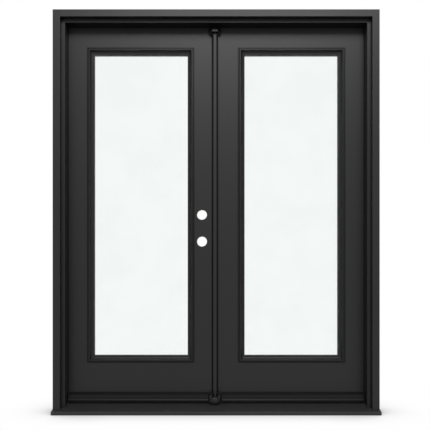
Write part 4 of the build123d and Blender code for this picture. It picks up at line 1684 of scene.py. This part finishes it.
@dataclass
class Studio:
    """The camera, the lamp, the white surroundings and the floor."""

    image_side: float = 430.0
    centre_column: float = 216.15
    horizon_row: float = 254.9
    eye_height: float = 0.83
    eye_distance: float = 3.13735
    far_clip: float = 60.0
    lens: float = 50.0
    sensor: float = 36.0
    key_place: Point = (0.2, -2.0, 3.35)
    key_aim: Point = (0.0, 0.0, 1.6)
    key_size: Pair = (2.4, 0.8)
    key_watts: float = 60.0
    ambient: float = 0.08
    floor_half: float = 9.0
    floor_grain: Noise = Noise(30.0, 3.0)
    floor_greys: Pair = (0.3, 0.34)
    # The floor's painted shadow: how far its occlusion reaches, where the darkening starts and how
    # dark it gets.
    shadow_reach: float = 0.34
    shadow_start: float = 0.25
    shadow_grey: float = 0.16
    shadow_samples: int = 16

    def camera(self) -> None:
        """Sets up the camera, level and square to the door."""
        data = bpy.data.cameras.new("camera")
        data.lens = self.lens
        data.sensor_width = self.sensor
        middle = self.image_side / 2
        data.shift_x = (middle - self.centre_column) / self.image_side
        data.shift_y = (self.horizon_row - middle) / self.image_side
        data.clip_end = self.far_clip
        eye = bpy.data.objects.new("camera", data)
        eye.location = (0.0, -self.eye_distance, self.eye_height)
        eye.rotation_euler = (math.pi / 2, 0.0, 0.0)
        bpy.context.scene.collection.objects.link(eye)
        bpy.context.scene.camera = eye

    def key(self) -> None:
        """Adds a wide soft lamp above and in front of the door."""
        data = bpy.data.lights.new("key", "AREA")
        data.shape = "RECTANGLE"
        data.size, data.size_y = self.key_size
        data.energy = self.key_watts
        lamp = bpy.data.objects.new("key", data)
        lamp.location = self.key_place
        way = Vector(self.key_aim) - Vector(self.key_place)
        lamp.rotation_euler = way.to_track_quat("-Z", "Y").to_euler()
        lamp.visible_camera = False
        lamp.visible_transmission = False
        bpy.context.scene.collection.objects.link(lamp)

    def surroundings(self) -> None:
        """A world that is white to look at and dim as a lamp."""
        world = bpy.data.worlds.new("studio")
        bpy.context.scene.world = world
        sheet = Sheet(world)
        level = self.ambient + sheet.looked_at() * (1.0 - self.ambient)
        sky = {"Color": rgba(grey(1.0)), "Strength": level}
        sheet.end_in(sheet.node("ShaderNodeBackground", None, sky))

    def floor(self) -> None:
        """A pale floor, white to the camera, with a shadow painted near the door from ambient
        occlusion.
        """
        mesh = bmesh.new()
        bmesh.ops.create_grid(mesh, x_segments=1, y_segments=1, size=self.floor_half)
        data = bpy.data.meshes.new("floor")
        mesh.to_mesh(data)
        mesh.free()
        floor = bpy.data.objects.new("floor", data)
        bpy.context.scene.collection.objects.link(floor)
        sheet = Sheet(bpy.data.materials.new("floor"))
        # Painted shadow: ambient occlusion darkens the floor's glow near the door.
        near = sheet.node(
            "ShaderNodeAmbientOcclusion",
            {"samples": self.shadow_samples},
            {"Distance": self.shadow_reach},
        )
        clear = Number(sheet, near.outputs["AO"]).mask(self.shadow_start, 1.0)
        tone = sheet.blend(clear, grey(self.shadow_grey), grey(1.0))
        glow = sheet.node("ShaderNodeEmission", None, {"Color": tone})
        pale = sheet.blend(sheet.noise(self.floor_grain), *map(grey, self.floor_greys))
        matt = sheet.node("ShaderNodeBsdfDiffuse", None, {"Color": pale})
        shaders = {0: sheet.looked_at(), 1: matt.outputs[0], 2: glow.outputs[0]}
        sheet.end_in(sheet.node("ShaderNodeMixShader", None, shaders))
        data.materials.append(sheet.owner)

    def build(self) -> None:
        """Sets up everything that isn't the door."""
        bpy.context.scene.view_settings.view_transform = "Standard"
        self.camera()
        self.surroundings()
        self.key()
        self.floor()
        log.info("studio ready")


def main() -> None:
    """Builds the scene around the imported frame."""
    logging.basicConfig(level=logging.INFO, format="%(message)s")
    palette, wardrobe = Palette(), Wardrobe()
    FrameAndSill(palette, wardrobe).build()
    Hinges(palette, wardrobe).build()
    for leaf in LEAVES:
        Leaf(palette, wardrobe, leaf, has_lock=leaf == "active").build()
    Astragal(palette, wardrobe).build()
    Studio().build()


if __name__ == "__main__":
    main()
